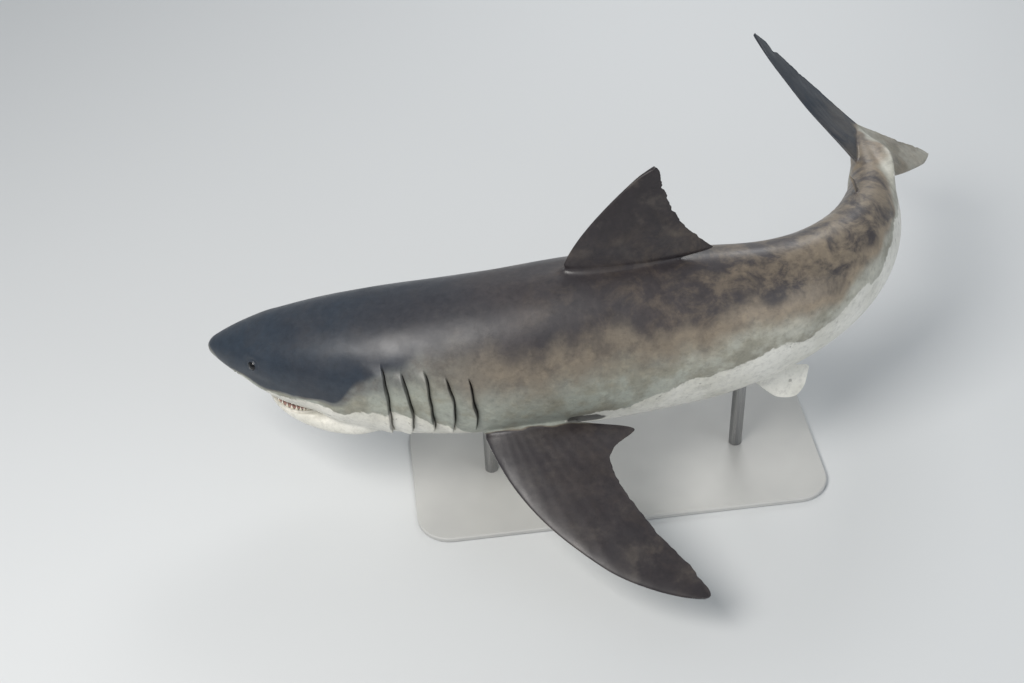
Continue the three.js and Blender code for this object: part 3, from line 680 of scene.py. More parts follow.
def round_tip(lead, trail, h, start, bias):
    """Both edges drawn together from start to the tip. bias is where in the chord they meet."""
    k = min(max((h - start) / (1 - start), 0), 0.9992)
    keep = math.sqrt(1 - k * k)
    middle = mix(lead, trail, bias)
    return middle + (lead - middle) * keep, middle + (trail - middle) * keep


def first_dorsal(origin, base, height, rake, rear_tip, foot):
    def edges(h):
        up = max(h, 0)
        lead = origin + rake * up**1.45 + min(h, 0) * 0.03
        margin = mix(0.094, rear_tip, (1 - up) ** 2.2)
        return lead, origin + mix(base, margin, smoothstep(-0.02, 0.075, h))

    return fin_mesh("dorsal", edges, lambda u, t, h: (u, t, foot + h * height))


def small_fin(origin, base, height, rake, rear_tip, up):
    """The second dorsal fin (up) or the anal fin (down)."""
    foot = (body_top if up > 0 else body_bottom)(origin + base)

    def edges(h):
        margin = mix(rake + 0.004, rear_tip, (1 - max(h, 0)) ** 1.6)
        return origin + rake * max(h, 0) ** 1.2, origin + mix(base, margin, smoothstep(0.05, 0.3, h))

    return fin_mesh("small", edges, lambda u, t, h: (u, t, foot + up * (h * height - 0.0006)))


def caudal_lobe(foot, tip, height, up):
    """A lobe of the tail fin. The upper one has a notch under its tip."""

    def edges(h):
        lead = foot + (tip - foot - 0.006) * max(h - 0.05, 0) ** 1.35
        notch = 0.007 * bump(h, 0.825, 0.028) if up > 0 else 0
        return lead, CAUDAL_FORK + (tip + 0.004 - CAUDAL_FORK) * max(h, 0) ** 1.12 - notch

    return fin_mesh("caudal", edges, lambda u, t, h: (u, t, up * h * height))


def paired_place(fin, side, rise=0.0, sag=0.0):
    """Places a section of a paired fin: out along its droop, with a rise rearwards and a sag at its tip."""
    c, d = math.cos(fin["droop"]), math.sin(fin["droop"])

    def place(u, t, s):
        out = s * fin["span"]
        z = fin["z"] + rise * (u - fin["origin"]) - out * d - sag * max(s, 0) ** 2 + t * c
        return u, side * (fin["v"] + out * c + t * d), z

    return place


def pectoral(side):
    f = PECTORAL

    def edges(s):
        out = max(s, 0)
        lead = f["sweep"] * (0.4 * out + 0.6 * out**2.8) + min(s, 0) * 0.02
        chord = 0.102 - 0.026 * out - 0.02 * out**3
        lobe = 0.038 * bump(s, 0.12, 0.085)
        trail = mix(0.08, lead + chord + lobe, smoothstep(0.02, 0.15, s))
        return f["origin"] + lead, f["origin"] + trail

    return fin_mesh("pectoral", edges, paired_place(f, side, sag=0.008))


def pelvic(side):
    f = PELVIC

    def edges(s):
        trail = mix(0.044, 0.062 - 0.022 * max(s - 0.4, 0), smoothstep(0.2, 0.5, s))
        return f["origin"] + f["sweep"] * max(s, 0) ** 1.15, f["origin"] + trail

    return fin_mesh("pelvic", edges, paired_place(f, side, rise=0.1))


# ---- One skin ----
PIECES = range(8)
BODY, JAW_PIECE, MOUTH_PIECE, DORSAL, SMALL, PECTORAL_PIECE, PELVIC_PIECE, CAUDAL = PIECES
# each piece's fillet where it joins the rest: its radius in metres, and rounds of smoothing
JOINS = [
    (DORSAL, 0.030, 45),
    (PECTORAL_PIECE, 0.030, 45),
    (PELVIC_PIECE, 0.014, 20),
    (SMALL, 0.010, 14),
    (CAUDAL, 0.022, 30),
    (JAW_PIECE, 0.050, 90),
    (MOUTH_PIECE, 0.006, 5),
]


def mark_piece(obj, piece):
    """Each piece carries its own number as a material, which the joining keeps face by face."""
    for k in PIECES:
        name = f"piece_{k}"
        obj.data.materials.append(bpy.data.materials.get(name) or bpy.data.materials.new(name))
    obj.data.polygons.foreach_set("material_index", np.full(len(obj.data.polygons), piece, np.int32))
    return obj


def vertex_pieces(mesh):
    """For each vertex and piece, whether a face of that piece touches it."""
    numbers = np.array([int(material.name.split("_")[1]) for material in mesh.materials])
    pieces = numbers[read(mesh.polygons, "material_index")]
    touch = np.zeros((len(mesh.vertices), len(PIECES)), bool)
    touch[read(mesh.loops, "vertex_index"), np.repeat(pieces, read(mesh.polygons, "loop_total"))] = True
    return touch


def spread(edges, lengths, sources, limit, count):
    """Shortest way along the mesh from the sources, up to the limit."""
    distance = np.full(count, 9.0)
    distance[sources] = 0
    for _ in range(60):
        before = distance.copy()
        for a, b in (edges.T, edges.T[::-1]):
            near = before[a] < limit
            np.minimum.at(distance, b[near], before[a[near]] + lengths[near])
        if np.allclose(before, distance):
            break
    return distance


def relax(values, edges, weight, rounds):
    """Moves points or other values towards the mean of their neighbours' along the edges, by their weight."""
    involved, index = np.unique(edges[(weight > 1e-3)[edges].any(1)], return_inverse=True)
    a, b = index.reshape(-1, 2).T
    part, pull = values[involved], 0.6 * weight[involved][:, None]
    degree = np.bincount(np.concatenate([a, b]), minlength=len(part))[:, None]
    for _ in range(rounds):
        total = [np.bincount(a, c[b], len(part)) + np.bincount(b, c[a], len(part)) for c in part.T]
        part = part + (np.stack(total, -1) / degree - part) * pull
    values = values.copy()
    values[involved] = part
    return values


def round_joins(obj):
    """Rounds the joins between pieces: wide fillets at fin roots, and small ones at the lips."""
    mesh = obj.data
    edges, points, touch = edges_of(mesh), points_of(mesh), vertex_pieces(mesh)
    lengths = np.linalg.norm(points[edges[:, 0]] - points[edges[:, 1]], axis=1) * LENGTH
    for piece, radius, rounds in JOINS:
        seam = touch[:, piece] & np.delete(touch, piece, 1).any(1)
        if piece == JAW_PIECE:
            seam &= ~touch[:, MOUTH_PIECE]
        reach = spread(edges, lengths, seam, radius, len(points))
        weight = 1 - smoothstep(0.25 * radius, radius, reach)
        if piece == JAW_PIECE:
            weight *= smoothstep(0.112, 0.14, points[:, 0])
        points = relax(points, edges, weight, rounds if FINE else rounds // 4 + 1)
    set_points(mesh, points)


def build_skin():
    skin = mark_piece(build_body(), BODY)
    combine(skin, mark_piece(build_jaw(), JAW_PIECE), "UNION")
    combine(skin, mark_piece(build_mouth(), MOUTH_PIECE), "DIFFERENCE")
    fins = [
        (first_dorsal(**FIRST_DORSAL), DORSAL),
        (small_fin(**SECOND_DORSAL), SMALL),
        (small_fin(**ANAL), SMALL),
        (caudal_lobe(**UPPER_LOBE), CAUDAL),
        (caudal_lobe(**LOWER_LOBE), CAUDAL),
    ]
    for side in (1, -1):
        fins += [(pectoral(side), PECTORAL_PIECE), (pelvic(side), PELVIC_PIECE)]
    for fin, piece in fins:
        combine(skin, mark_piece(fin, piece), "UNION")
    # the tip of the snout is rounded off
    points = points_of(skin.data)
    weight = 1 - smoothstep(0.0015, 0.005, points[:, 0])
    set_points(skin.data, relax(points, edges_of(skin.data), weight, 8 if FINE else 2))
    round_joins(skin)
    return skin


# ---- Markings, as values on the skin's points ----
# place, height of the edge between the dark back and the pale belly, and height of the lighter flank's top.
# The edge dips under the pectoral fin's root. Ahead of the gills there is no lighter flank.
EDGE_LINE, FLANK_TOP = curves_through(np.array([
    (0.0, -0.004, -0.002),
    (0.03, -0.009, -0.0065),
    (0.06, -0.0125, -0.0095),
    (0.1, -0.017, -0.013),
    (0.135, -0.018, -0.009),
    (0.16, -0.014, 0.010),
    (0.19, -0.011, 0.038),
    (0.22, -0.019, 0.047),
    (0.25, -0.034, 0.050),
    (0.29, -0.046, 0.051),
    (0.34, -0.043, 0.049),
    (0.4, -0.029, 0.047),
    (0.47, -0.016, 0.046),
    (0.55, -0.001, 0.041),
    (0.63, 0.009, 0.033),
    (0.71, 0.006, 0.024),
    (0.8, -0.002, 0.015),
    (0.9, -0.008, 0.01),
]))


def waver(u, seed, *waves):
    """A sum of waves, each given by its length and size, that start at random."""
    starts = np.random.default_rng(seed)
    return sum(size * np.sin(u * 2 * np.pi / length + starts.uniform(0, 6.28)) for length, size in waves)


def mark_skin(skin):
    """Values that the skin's material reads: the height above the belly's edge, and masks for its parts."""
    mesh = skin.data
    p, edges, touch = points_of(mesh), edges_of(mesh), vertex_pieces(mesh)
    (u, v, z), out = p.T, np.abs(p[:, 1])
    facing = read(mesh.vertices, "normal", np.float32, 3)[:, 2]

    def only(piece):
        return touch[:, piece] & ~touch[:, BODY]

    def mark(name, values, rounds):
        everywhere = np.ones(len(values))
        set_attribute(mesh, name, relax(1.0 * values[:, None], edges, everywhere, rounds)[:, 0])

    beyond = out - flank_at(np.clip(u, 0.01, 0.88), z)  # past the flank, on a paired fin
    beyond += waver(u, 11, (0.031, 0.0022), (0.013, 0.0012))
    on_pectoral = only(PECTORAL_PIECE) * smoothstep(-0.001, 0.007, beyond)
    on_pelvic = only(PELVIC_PIECE) * smoothstep(0.0, 0.006, beyond)
    on_caudal = only(CAUDAL) * smoothstep(0.001, 0.013, np.abs(z) + 0.004 * np.sin(u * 260))
    on_dorsal = only(DORSAL).astype(float)

    line = EDGE_LINE(u) + waver(u + 0.3 * (v > 0), 3, (0.19, 0.0030), (0.083, 0.0026), (0.041, 0.0015))
    top = FLANK_TOP(u) + waver(u - 0.2 * (v > 0), 5, (0.13, 0.0050), (0.057, 0.0032), (0.03, 0.0018))
    # along the root of each pectoral fin, the edge follows the root
    root = PECTORAL["z"] - (out - PECTORAL["v"]) * math.tan(PECTORAL["droop"])
    beside_root = plateau(u, 0.238, 0.262, 0.322, 0.352)
    line = mix(line, root - 0.006, beside_root)
    mark("raggedness", 1 - 0.9 * beside_root * (1 - smoothstep(0.008, 0.022, np.abs(z - root))), 2)

    above = z - line
    share = np.clip(above / np.maximum(top - line, 0.006), -1, 2)
    above = mix(above, 0.05 * np.clip(facing * 3, -1, 1), on_pectoral)
    above = mix(above, -0.007, on_pelvic)
    above = mix(above, np.where(z > 0, 0.07, 0.03), on_caudal)
    mark("above_edge", np.where(only(SMALL) & (z < 0), -0.02, above), 1)
    for where, fin_share in ((on_pectoral, 1.7), (on_dorsal, 1.7), (on_caudal, np.where(z > 0, 1.6, 0.55))):
        share = mix(share, fin_share, where)
    mark("flank_share", share, 2)

    along_fin = np.clip((out - PECTORAL["v"]) / (PECTORAL["span"] * math.cos(PECTORAL["droop"])), 0, 1)
    up_dorsal = np.clip((z - FIRST_DORSAL["foot"]) / FIRST_DORSAL["height"], 0, 1)
    set_attribute(mesh, "black_tip", smoothstep(0.60, 0.84, along_fin) * on_pectoral * (facing <= 0))
    # the back is dark along the dorsal fin's root too
    by_root = plateau(u - FIRST_DORSAL["origin"], -0.03, 0.03, 0.08, 0.14) * (z > 0)
    dark = np.max([
        0.5 * by_root * (1 - smoothstep(0.006, 0.042, out)),
        on_dorsal * (0.5 + 0.5 * smoothstep(0.05, 0.7, up_dorsal)),
        on_caudal * np.where(z > 0, 0.8 + 0.2 * smoothstep(0.02, 0.08, z), 0.12),
        on_pectoral * (facing > 0) * (0.62 + 0.3 * smoothstep(0.35, 1, along_fin)),
    ], 0)
    mark("dark", dark, 3)
    # fin rays fan out from a point within the body
    rays = 90 * np.arctan2(u - 0.27, out + 0.02) * on_pectoral
    rays += 80 * np.arctan2(u - 0.36, z - 0.03) * on_dorsal
    rays += 90 * np.arctan2(u - 0.78, np.abs(z) + 0.015) * on_caudal
    set_attribute(mesh, "rays", rays)
    webs = np.max([
        on_pectoral * smoothstep(0.03, 0.2, along_fin),
        on_dorsal * smoothstep(0.0, 0.3, up_dorsal),
        on_caudal * smoothstep(0.025, 0.06, np.abs(z)),
    ], 0)
    mark("ray_relief", webs, 3)
    mark("tail_blue", on_caudal * (z > 0), 3)
    mark("paired_fin", np.maximum(on_pectoral, on_pelvic), 2)
    mark("mouth", touch[:, MOUTH_PIECE], 2)
    # painted shade down in the gill slits
    set_attribute(mesh, "gill", gill_shadow(u, z) * (out > 0.02))
    set_attribute(mesh, "rest", p)


# ---- Materials ----
class Value:
    """What a node gives, with arithmetic."""

    def __init__(self, nodes, socket):
        self.nodes, self.socket = nodes, socket

    def __add__(self, other):
        return self.nodes.math("ADD", self, other)

    def __sub__(self, other):
        return self.nodes.math("SUBTRACT", self, other)

    def __rsub__(self, other):
        return self.nodes.math("SUBTRACT", other, self)

    def __mul__(self, other):
        return self.nodes.math("MULTIPLY", self, other)


class Nodes:
    """Short ways to build one material's nodes. Colours are (r, g, b) bytes, and textures lie in place."""

    def __init__(self, name, in_object=False):
        self.material = bpy.data.materials.new(name)
        self.material.use_nodes = True
        self.tree = self.material.node_tree
        self.tree.nodes.clear()
        self.shader = self.tree.nodes.new("ShaderNodeBsdfPrincipled")
        output = self.tree.nodes.new("ShaderNodeOutputMaterial")
        self.tree.links.new(self.shader.outputs[0], output.inputs["Surface"])
        self.place = self.add("ShaderNodeTexCoord", output="Object") if in_object else None

    def put(self, socket, value):
        if isinstance(value, Value):
            self.tree.links.new(value.socket, socket)
        elif socket.type == "RGBA":
            socket.default_value = (*linear(value), 1.0)
        else:
            socket.default_value = value

    def add(self, kind, inputs=None, output=0, **settings):
        node = self.tree.nodes.new(kind)
        for key, value in settings.items():
            setattr(node, key, value)
        for key, value in (inputs or {}).items():
            self.put(node.inputs[key], value)
        return Value(self, node.outputs[output])

    def shaded(self, **inputs):
        """The material, once its shader has these inputs. Their names have _ for spaces."""
        for key, value in inputs.items():
            self.put(self.shader.inputs[key.replace("_", " ")], value)
        return self.material

    def attribute(self, name, output="Fac"):
        return self.add("ShaderNodeAttribute", output=output, attribute_name=name)

    def math(self, operation, a, b=0.0):
        return self.add("ShaderNodeMath", {0: a, 1: b}, operation=operation)

    def scaled(self, vector, scale):
        return self.add("ShaderNodeVectorMath", {0: vector, 1: scale}, operation="MULTIPLY")

    def noise(self, scale, detail, roughness=0.5, distortion=0.0, place=None):
        inputs = {"Scale": scale, "Detail": detail, "Roughness": roughness, "Distortion": distortion}
        return self.add("ShaderNodeTexNoise", {"Vector": place or self.place, **inputs}, "Fac")

    def voronoi(self, scale):
        return self.add("ShaderNodeTexVoronoi", {"Vector": self.place, "Scale": scale}, "Distance")

    def ramp(self, value, low, high, to_low=0.0, to_high=1.0):
        inputs = {"Value": value, "From Min": low, "From Max": high, "To Min": to_low, "To Max": to_high}
        return self.add("ShaderNodeMapRange", inputs, interpolation_type="SMOOTHSTEP")

    def mottle(self, noise, low, high, to_low=0.0, to_high=1.0):
        """A noise (its scale, detail and roughness) with its contrast raised."""
        return self.ramp(self.noise(*noise), low, high, to_low, to_high)

    def blend(self, factor, a, b, mode="MIX"):
        return self.add("ShaderNodeMix", {"Factor": factor, 6: a, 7: b}, 2, data_type="RGBA", blend_type=mode)

    def relief(self, *layers):
        """Bumps one upon the other, each given by its height, strength and distance."""
        normal = {}
        for height, strength, distance in layers:
            inputs = {"Height": height, "Strength": strength, "Distance": distance, **normal}
            normal = {"Normal": self.add("ShaderNodeBump", inputs)}
        return normal["Normal"]


def linear(rgb):
    """A colour's sRGB bytes as linear shares of 1."""
    return tuple(c / 12.92 if c <= 0.04045 else ((c + 0.055) / 1.055) ** 2.4 for c in (b / 255 for b in rgb))


class SkinNodes(Nodes):
    """The skin's nodes. x and z are places in the straight shark, in shares of its length."""

    def __init__(self):
        super().__init__("shark_skin")
        rest = self.attribute("rest", "Vector")
        self.x, self.z = (self.add("ShaderNodeSeparateXYZ", {0: rest}, axis) for axis in "XZ")
        self.place = self.scaled(rest, (LENGTH, LENGTH, LENGTH))

    def wander(self, size, *noise):
        """A noise of that size about 0."""
        return (self.noise(*noise) - 0.5) * size


def back_colour(m):
    """Slate blue at the head and warm grey-brown along the trunk, with soft clouds and tan patches."""
    back = m.blend(m.ramp(m.x + m.wander(0.10, 3, 3), 0.15, 0.34), (38, 48, 60), (62, 57, 58))
    back = m.blend(m.mottle((2.6, 5, 0.55), 0.35, 0.7, 0, 0.6), back, (46, 46, 51))
    rearward = m.ramp(m.x, 0.38, 0.68)
    patches = m.ramp(m.noise(9, 8, 0.68, 0.5) + rearward * 0.06, 0.43, 0.66)
    tan_here = patches * m.ramp(m.x, 0.26, 0.62, 0.05, 0.85)
    return m.blend(tan_here, back, m.blend(rearward, (110, 98, 85), (134, 122, 105)))


def flank_colour(m):
    """Bronze below the back, and pale olive grey towards the belly."""
    bronze = m.blend(m.ramp(m.x, 0.19, 0.3), (104, 106, 104), (116, 107, 95))
    bronze = m.blend(m.ramp(m.x, 0.38, 0.6), bronze, (140, 127, 110))
    bronze = m.blend(m.mottle((12, 6, 0.62), 0.46, 0.66, 0, 0.7), bronze, (84, 78, 73))
    olive = m.blend(m.ramp(m.x, 0.36, 0.56), (150, 154, 145), (176, 175, 164))
    olive = m.blend(m.mottle((7, 6, 0.6), 0.44, 0.64, 0, 0.8), olive, (130, 127, 113))
    share = m.attribute("flank_share") + m.wander(0.62, 3.2, 6, 0.62)
    flank = m.blend(m.ramp(share, 0.36, 0.82), olive, bronze)
    return m.blend(m.ramp(share, 0.82, 1.12), flank, back_colour(m))


def body_colour(m, above, pale):
    """The flank over a white belly, with smudges and freckles on the belly's side of the edge."""
    white = m.blend(m.mottle((6, 4), 0.3, 0.75), (226, 224, 216), (200, 198, 187))
    smudges = m.mottle((30, 4, 0.55), 0.63, 0.70, 0, 0.65) * (m.ramp(above, -0.022, -0.003) * pale)
    return m.blend(smudges, m.blend(pale, flank_colour(m), white), (98, 94, 86))


def fins_over(m, colour, pale):
    """Darker fins, with a bluer upper tail lobe, and black tips under the pectoral fins."""
    fins = m.blend(m.mottle((10, 6, 0.62), 0.5, 0.68, 0, 0.5), (36, 31, 34), (80, 74, 69))
    fins = m.blend(m.attribute("tail_blue") * 0.85, fins, (28, 41, 54))
    colour = m.blend(m.attribute("dark") * 0.92 * (1.0 - pale), colour, fins)
    tip = m.attribute("black_tip") + m.wander(0.5, 20, 5, 0.6)
    return m.blend(m.ramp(tip, 0.42, 0.58), colour, (30, 30, 33))


def spots_over(m, colour):
    """A ragged black spot on the body behind each pectoral fin's root."""
    spot = dict(u=0.362, z=-0.049, squash=0.5, radius=0.009)
    a, b = (m.x - spot["u"]) * spot["squash"], m.z - spot["z"]
    away = m.math("SQRT", a * a + b * b) + m.wander(spot["radius"] * 1.3, 16, 5, 0.6)
    inside = m.ramp(away, spot["radius"] * 0.85, spot["radius"] * 1.1, 0.9, 0)
    return m.blend(inside * (1.0 - m.attribute("paired_fin")), colour, (34, 33, 35))


def openings_over(m, colour):
    """Painted shade down in the gill slits, and the inside of the mouth, darker towards its back."""
    # how dark the painted shade in the slits is, varying along them
    depth = m.attribute("gill") * m.mottle((19, 3), 0.3, 0.65, 0.62, 0.95)
    flesh = m.blend(m.ramp(m.x, 0.075, 0.13), (168, 122, 112), (66, 27, 25))
    return m.blend(m.ramp(m.attribute("mouth"), 0.25, 0.75), m.blend(depth, colour, (30, 23, 23)), flesh)


def skin_material():
    m = SkinNodes()
    # the ragged edge of the belly, with islands of each colour in the other
    above = m.attribute("above_edge")
    ragged = (m.wander(0.018, 15, 5, 0.55) + m.wander(0.0045, 52, 3)) * m.attribute("raggedness")
    pale = m.ramp(above + ragged, -0.0012, 0.0012, 1, 0)
    # pores under and beside the snout
    pore_zone = m.ramp(m.x, 0.055, 0.095, 1, 0) * m.mottle((17, 2), 0.44, 0.56)
    pores = m.ramp(m.voronoi(125), 0.09, 0.18, 1, 0) * pore_zone
    colour = spots_over(m, fins_over(m, body_colour(m, above, pale), pale))
    colour = openings_over(m, m.blend(pores * 0.7, colour, (20, 20, 23)))
    # fine unevenness over everything
    colour = m.blend(m.mottle((34, 8, 0.7), 0.42, 0.7, 0, 0.30), colour, (255, 250, 240), "SOFT_LIGHT")
    colour = m.blend(m.mottle((47, 8, 0.7), 0.45, 0.7, 0, 0.22), colour, (70, 66, 64), "MULTIPLY")
    # slow unevenness, fin rays, faint creases, skin teeth and pores
    relief = m.relief(
        (m.noise(6, 3), 0.30, 0.012),
        (m.math("SINE", m.attribute("rays")) * m.attribute("ray_relief"), 0.35, 0.0005),
        (m.noise(60, 4, 0.55, place=m.scaled(m.place, (1.6, 1.0, 1.0))), 0.16, 0.0014),
        (m.voronoi(900), 0.30, 0.0003),
        (1.0 - pores, 0.12, 0.0006),
    )
    return m.shaded(
        Base_Color=colour,
        Roughness=m.mottle((8, 5, 0.6), 0.3, 0.7, 0.33, 0.50),  # a damp sheen that varies
        Specular_IOR_Level=0.42,
        Coat_Weight=0.10,
        Coat_Roughness=0.25,
        Normal=relief,
    )


def eye_material():
    m = Nodes("shark_eye")
    ring = m.attribute("from_axis")
    iris = m.blend(m.ramp(ring, 0.50, 0.60), (6, 6, 8), (18, 22, 34))
    iris = m.blend(m.ramp(ring, 0.74, 0.86), iris, (10, 10, 12))
    return m.shaded(Base_Color=iris, Roughness=0.05, Specular_IOR_Level=0.45)


def tooth_material():
    m = Nodes("shark_teeth", in_object=True)
    enamel = m.blend(m.ramp(m.attribute("from_root"), 0.0, 0.6), (205, 192, 165), (236, 232, 222))
    enamel = m.blend(m.mottle((90, 4, 0.6), 0.5, 0.75, 0, 0.35), enamel, (196, 180, 150))
    relief = m.relief((m.noise(260, 3), 0.15, 0.0004))
    return m.shaded(Base_Color=enamel, Roughness=0.24, Coat_Weight=0.3, Coat_Roughness=0.1, Normal=relief)


def gum_material():
    m = Nodes("shark_gums", in_object=True)
    flesh = m.blend(m.mottle((60, 5, 0.6), 0.3, 0.7), (188, 158, 148), (160, 118, 110))
    relief = m.relief((m.noise(150, 4), 0.4, 0.001))
    return m.shaded(Base_Color=flesh, Roughness=0.25, Coat_Weight=0.4, Coat_Roughness=0.12, Normal=relief)


def stand_material():
    m = Nodes("stand_paint", in_object=True)
    paint = m.blend(m.mottle((3, 3), 0.3, 0.7), (190, 190, 187), (180, 180, 178))
    speck = m.noise(900, 2)
    roughness = m.ramp(speck, 0.3, 0.7, 0.42, 0.56)
    return m.shaded(Base_Color=paint, Roughness=roughness, Normal=m.relief((speck, 0.25, 0.0004)))


def rod_material():
    m = Nodes("stand_steel", in_object=True)
    m.place = m.scaled(m.place, (420.0, 420.0, 5.0))
    brushed = m.noise(1, 4, 0.6)
    return m.shaded(
        Base_Color=m.blend(m.ramp(brushed, 0.3, 0.7), (168, 168, 168), (146, 147, 149)),
        Metallic=1.0,
        Roughness=m.ramp(brushed, 0.3, 0.7, 0.26, 0.4),
        Normal=m.relief((brushed, 0.2, 0.0004)),
    )


# ---- Eyes, teeth and gums ----
# Sizes of one side's teeth, from the middle of the jaw
UPPER_SIZES = np.array([0.95, 1.0, 0.72, 0.95, 0.95, 0.9, 0.83, 0.76, 0.68, 0.6, 0.5, 0.41, 0.32, 0.24])
LOWER_SIZES = np.array([0.9, 1.0, 0.82, 0.9, 0.88, 0.82, 0.76, 0.68, 0.6, 0.5, 0.41, 0.32, 0.24])
SPARE_ROW = 0.0034  # how far behind the front row the next one stands


def straight_to_world(p):
    return posed(np.asarray(p, float)) + SHIFT


def build_eye(name, side):
    """An eyeball that faces along its axis, and knows each point's angle from that axis."""
    ball = EYE["radius"] * LENGTH
    radius = 0.995 * ball  # just clear of the lids
    here = eye_centre(side)
    centre, ahead = straight_to_world(np.array([here, here + eye_axis(side) * 0.001]))
    axis = Vector(ahead - centre).normalized()
    turn = np.array(axis.to_track_quat("Z", "Y").to_matrix())
    rings, around = (56, 72) if FINE else (24, 32)
    a, b = grid(np.linspace(0, np.pi, rings + 1)[1:-1], np.linspace(0, 2 * np.pi, around, endpoint=False))
    unit = np.stack([np.sin(a) * np.cos(b), np.sin(a) * np.sin(b), np.cos(a)], -1)
    eye = loft(name, unit * radius @ turn.T + centre, tips=True)
    p = points_of(eye.data)
    p[-2:] = centre + np.outer([radius, -radius], axis)  # the poles sit on the sphere
    set_points(eye.data, p)
    along = (p - centre) @ np.array(axis) / ball
    set_attribute(eye.data, "from_axis", np.arccos(np.clip(along, -1, 1)) / (np.pi / 2))
    return finished(eye, eye_material())


def tooth_shape(upper):
    """Rings of a tooth of height 1 and half width 1 at its root: across, inwards and up. Its edges are
    serrated. Upper teeth are broad triangles, and lower teeth are narrower above their roots."""
    t = np.linspace(0, 1, 25)
    half = (1 - t) ** (0.95 if upper else 1.5) * (1 - 0.12 * np.sin(np.pi * t))
    if not upper:
        half += 0.16 * (1 - t)
    half /= half[0]
    half[1:-1:2] += 0.035 * (1 - 0.6 * t[1:-1:2])
    half = np.maximum(half, 0.012)
    across = half[:, None] * [-1, -0.5, 0.5, 1, 0.45, -0.45]
    inward = 0.34 * (1 - 0.86 * t)[:, None] * [0, -0.30, -0.30, 0, 0.7, 0.7]
    return across, inward, t[:, None] * np.ones(6)


def teeth_row(upper, back=0.0, size=1.0, lean=0.0, stagger=0.0):
    """Rings of every tooth along both sides of a jaw. back moves a row inwards, behind the first."""
    teeth, sizes, direction, narrow, sunk = (
        (UPPER_TEETH, UPPER_SIZES, -1, 1.0, 0.0) if upper else (LOWER_TEETH, LOWER_SIZES, 1, 0.86, 0.0003)
    )
    shape_across, shape_inward, up = tooth_shape(upper)
    arc = arc_of(teeth, 400)
    arc = arc[arc[:, 0] <= teeth["back"]]
    length = np.concatenate([[0], np.cumsum(np.linalg.norm(np.diff(arc, axis=0), axis=1))])
    ends = np.concatenate([[0], np.cumsum(sizes)]) / sizes.sum() * length[-1]
    made = []
    for side in (1, -1):
        for start, end, share in zip(ends[:-1], ends[1:], sizes):
            at = mix(start, end, 0.5 + stagger)
            if at > length[-1]:
                continue
            here, ahead = np.stack([np.interp((at, at + 1e-3), length, column) for column in arc.T], -1)
            tangent = (ahead - here) / np.linalg.norm(ahead - here)
            inward = np.array([tangent[1], -tangent[0]])
            here = here + inward * back
            tall = teeth["height"] * 1.12 * mix(0.25, 1, share) * size * rng.uniform(0.94, 1.05)
            wide = 0.47 * (end - start) * narrow * mix(0.5, 1, size)
            tilt = rng.uniform(-0.04, 0.04) + 0.16 * (at / length[-1])  # the tips lean towards the corner
            nod = lean + rng.uniform(-0.03, 0.03)
            across = shape_across * wide + up * tall * tilt
            inside = shape_inward * wide * 0.9 + nod * tall * up + 0.10 * tall * up**2
            u, v = np.moveaxis(here + across[..., None] * tangent + inside[..., None] * inward, -1, 0)
            z = root_at(upper, *here) - sunk + direction * tall * (up * 1.14 - 0.14)
            made.append(np.stack([u, side * v, z], -1))
    return made


def root_at(upper, u, v):
    """Height of the jaw's surface that the teeth stand on."""
    return underside_at(u, v) if upper else jaw_top(u)


def build_teeth():
    rows = teeth_row(True, lean=0.06) + teeth_row(True, SPARE_ROW, 0.72, 0.45, 0.5)
    rows += teeth_row(False, lean=0.12) + teeth_row(False, SPARE_ROW, 0.75, 0.5, 0.5)
    teeth = joined_objects("teeth", [loft("tooth", straight_to_world(rings)) for rings in rows])
    set_attribute(teeth.data, "from_root", np.tile(tooth_shape(True)[2].ravel(), len(rows)))
    return finished(teeth, tooth_material())


def build_gums():
    """A low band of flesh along each jaw, that the teeth grow out of."""
    wide, tall, inwards, bumps, around = 0.0025, 0.0011, 0.0024, 27, 20
    bands = []
    for upper, teeth, into_mouth in ((True, UPPER_TEETH, -0.0001), (False, LOWER_TEETH, 0.0001)):
        half_arc = arc_of(teeth, 120)
        half_arc = half_arc[half_arc[:, 0] < teeth["back"] - 0.004]
        arc = np.concatenate([half_arc[::-1] * [1, -1], half_arc[1:]])
        tangent = np.gradient(arc, axis=0)
        tangent /= np.linalg.norm(tangent, axis=1, keepdims=True)
        inward = np.stack([tangent[:, 1], -tangent[:, 0]], -1)
        inward *= np.where(inward[:, :1] + 1e-9 > 0, 1, -1)
        place = np.linspace(0, 1, len(arc))
        fade = np.sin(place * np.pi) ** 0.3
        scallop = fade * (1 + 0.14 * np.cos(place * 2 * np.pi * bumps))
        angles = np.linspace(0, 2 * np.pi, around, endpoint=False)
        across = inwards + np.cos(angles) * wide * fade[:, None]
        root = root_at(upper, *arc.T) + into_mouth
        up = np.sin(angles) * tall * scallop[:, None] + root[:, None]
        flat = arc[:, None, :] + inward[:, None, :] * across[..., None]
        bands.append(loft("gum", straight_to_world(np.concatenate([flat, up[..., None]], -1))))
    return finished(joined_objects("gums", bands), gum_material())


# ---- Put together ----
FLESH = [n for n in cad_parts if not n.startswith(("eye_", "stand_"))]

skin = build_skin()
mark_skin(skin)
set_points(skin.data, straight_to_world(points_of(skin.data)))
finished(skin, skin_material())
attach(skin, "root")
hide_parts(*FLESH)

for name, side in (("left", 1), ("right", -1)):
    eye = build_eye(f"eyeball_{name}", side)
    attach(eye, "root")
    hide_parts(f"eye_{name}")

teeth = build_teeth()
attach(teeth, "root")
gums = build_gums()
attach(gums, "root")

paint, steel = stand_material(), rod_material()
for name, finish_material in (("stand_base", paint), ("stand_rod_front", steel), ("stand_rod_rear", steel)):
    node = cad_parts[name]
    node.data.materials.clear()
    node.data.materials.append(finish_material)

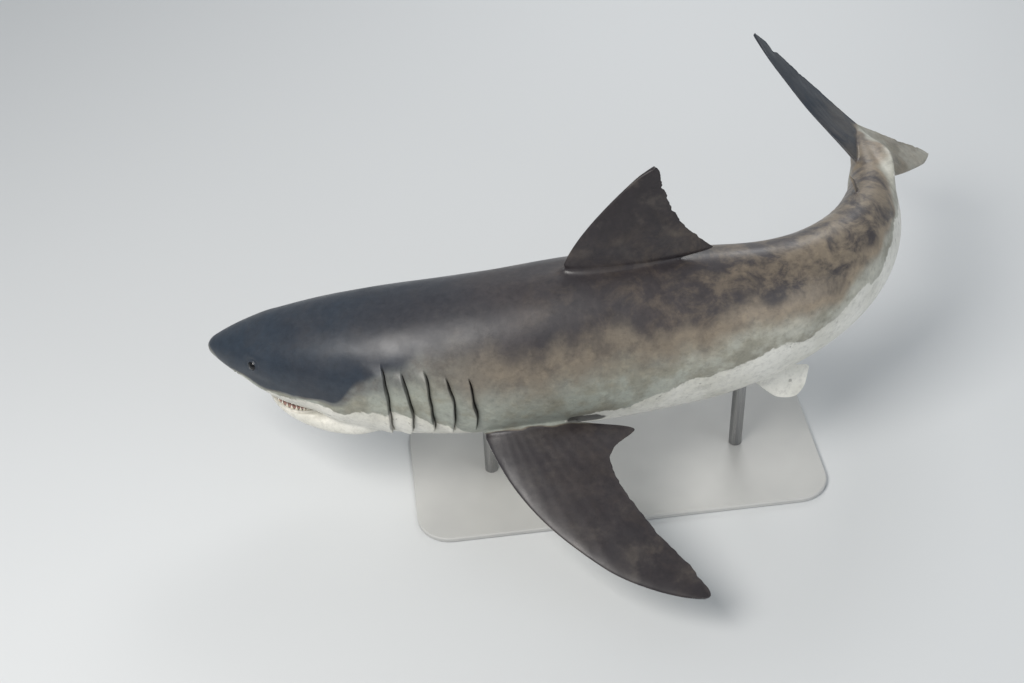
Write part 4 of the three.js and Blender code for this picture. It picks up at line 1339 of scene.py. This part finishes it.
# ---- Floor, light and camera ----
FLOOR_HALF, FLOOR_DROP = 30.0, 0.0005
corners = [(x * FLOOR_HALF, y * FLOOR_HALF, -FLOOR_DROP) for x, y in ((-1, -1), (1, -1), (1, 1), (-1, 1))]
floor = mesh_object("floor", corners, [(0, 1, 2, 3)])
floor.data.materials.append(Nodes("floor_paint").shaded(Base_Color=(208, 210, 211), Roughness=0.7))

scene = bpy.context.scene
scene.view_settings.view_transform = "Standard"
world = bpy.data.worlds.new("studio")
world.use_nodes = True
sky = world.node_tree.nodes["Background"]
sky.inputs["Color"].default_value = (0.90, 0.95, 1.0, 1)
sky.inputs["Strength"].default_value = 0.40
scene.world = world


def area_light(name, place, aim, size, power, colour=(1, 1, 1)):
    data = bpy.data.lights.new(name, "AREA")
    data.size, data.energy, data.color = size, power, colour
    light = bpy.data.objects.new(name, data)
    light.location = place
    light.rotation_euler = (Vector(aim) - Vector(place)).to_track_quat("-Z", "Y").to_euler()
    scene.collection.objects.link(light)


area_light("key", (-3.0, -2.6, 5.0), (-0.1, -0.2, 0.5), 2.6, 270, (1, 0.97, 0.93))
area_light("fill", (4.5, -4.0, 2.6), (0, 0, 0.6), 3.5, 75, (0.92, 0.96, 1))
area_light("rim", (1.5, 4.6, 4.2), (0, 0, 0.7), 2.5, 110)

# The camera looks down on the shark's left side, as the photographer did from the boat.
VIEW = dict(turn=-4.6, height=42.0, roll=-2.6, distance=5.32, aim=(1.087, 0.005), lens=54.4)


def add_camera():
    turn, rise, roll = (math.radians(VIEW[k]) for k in ("turn", "height", "roll"))
    back = Vector((math.sin(turn) * math.cos(rise), -math.cos(turn) * math.cos(rise), math.sin(rise)))
    aim = Vector((VIEW["aim"][0] - PITCH_CENTRE * LENGTH, VIEW["aim"][1], AXIS_HEIGHT)) + Vector(SHIFT)
    right = Vector((math.cos(turn), math.sin(turn), 0))
    up = back.cross(right)
    right, up = right * math.cos(roll) + up * math.sin(roll), up * math.cos(roll) - right * math.sin(roll)
    data = bpy.data.cameras.new("camera")
    data.lens, data.sensor_width = VIEW["lens"], 36.0
    camera = bpy.data.objects.new("camera", data)
    turnout = Matrix((right, up, back)).transposed().to_4x4()
    turnout.translation = aim + back * VIEW["distance"]
    camera.matrix_world = turnout
    scene.collection.objects.link(camera)
    scene.camera = camera


add_camera()

bpy.context.view_layer.update()
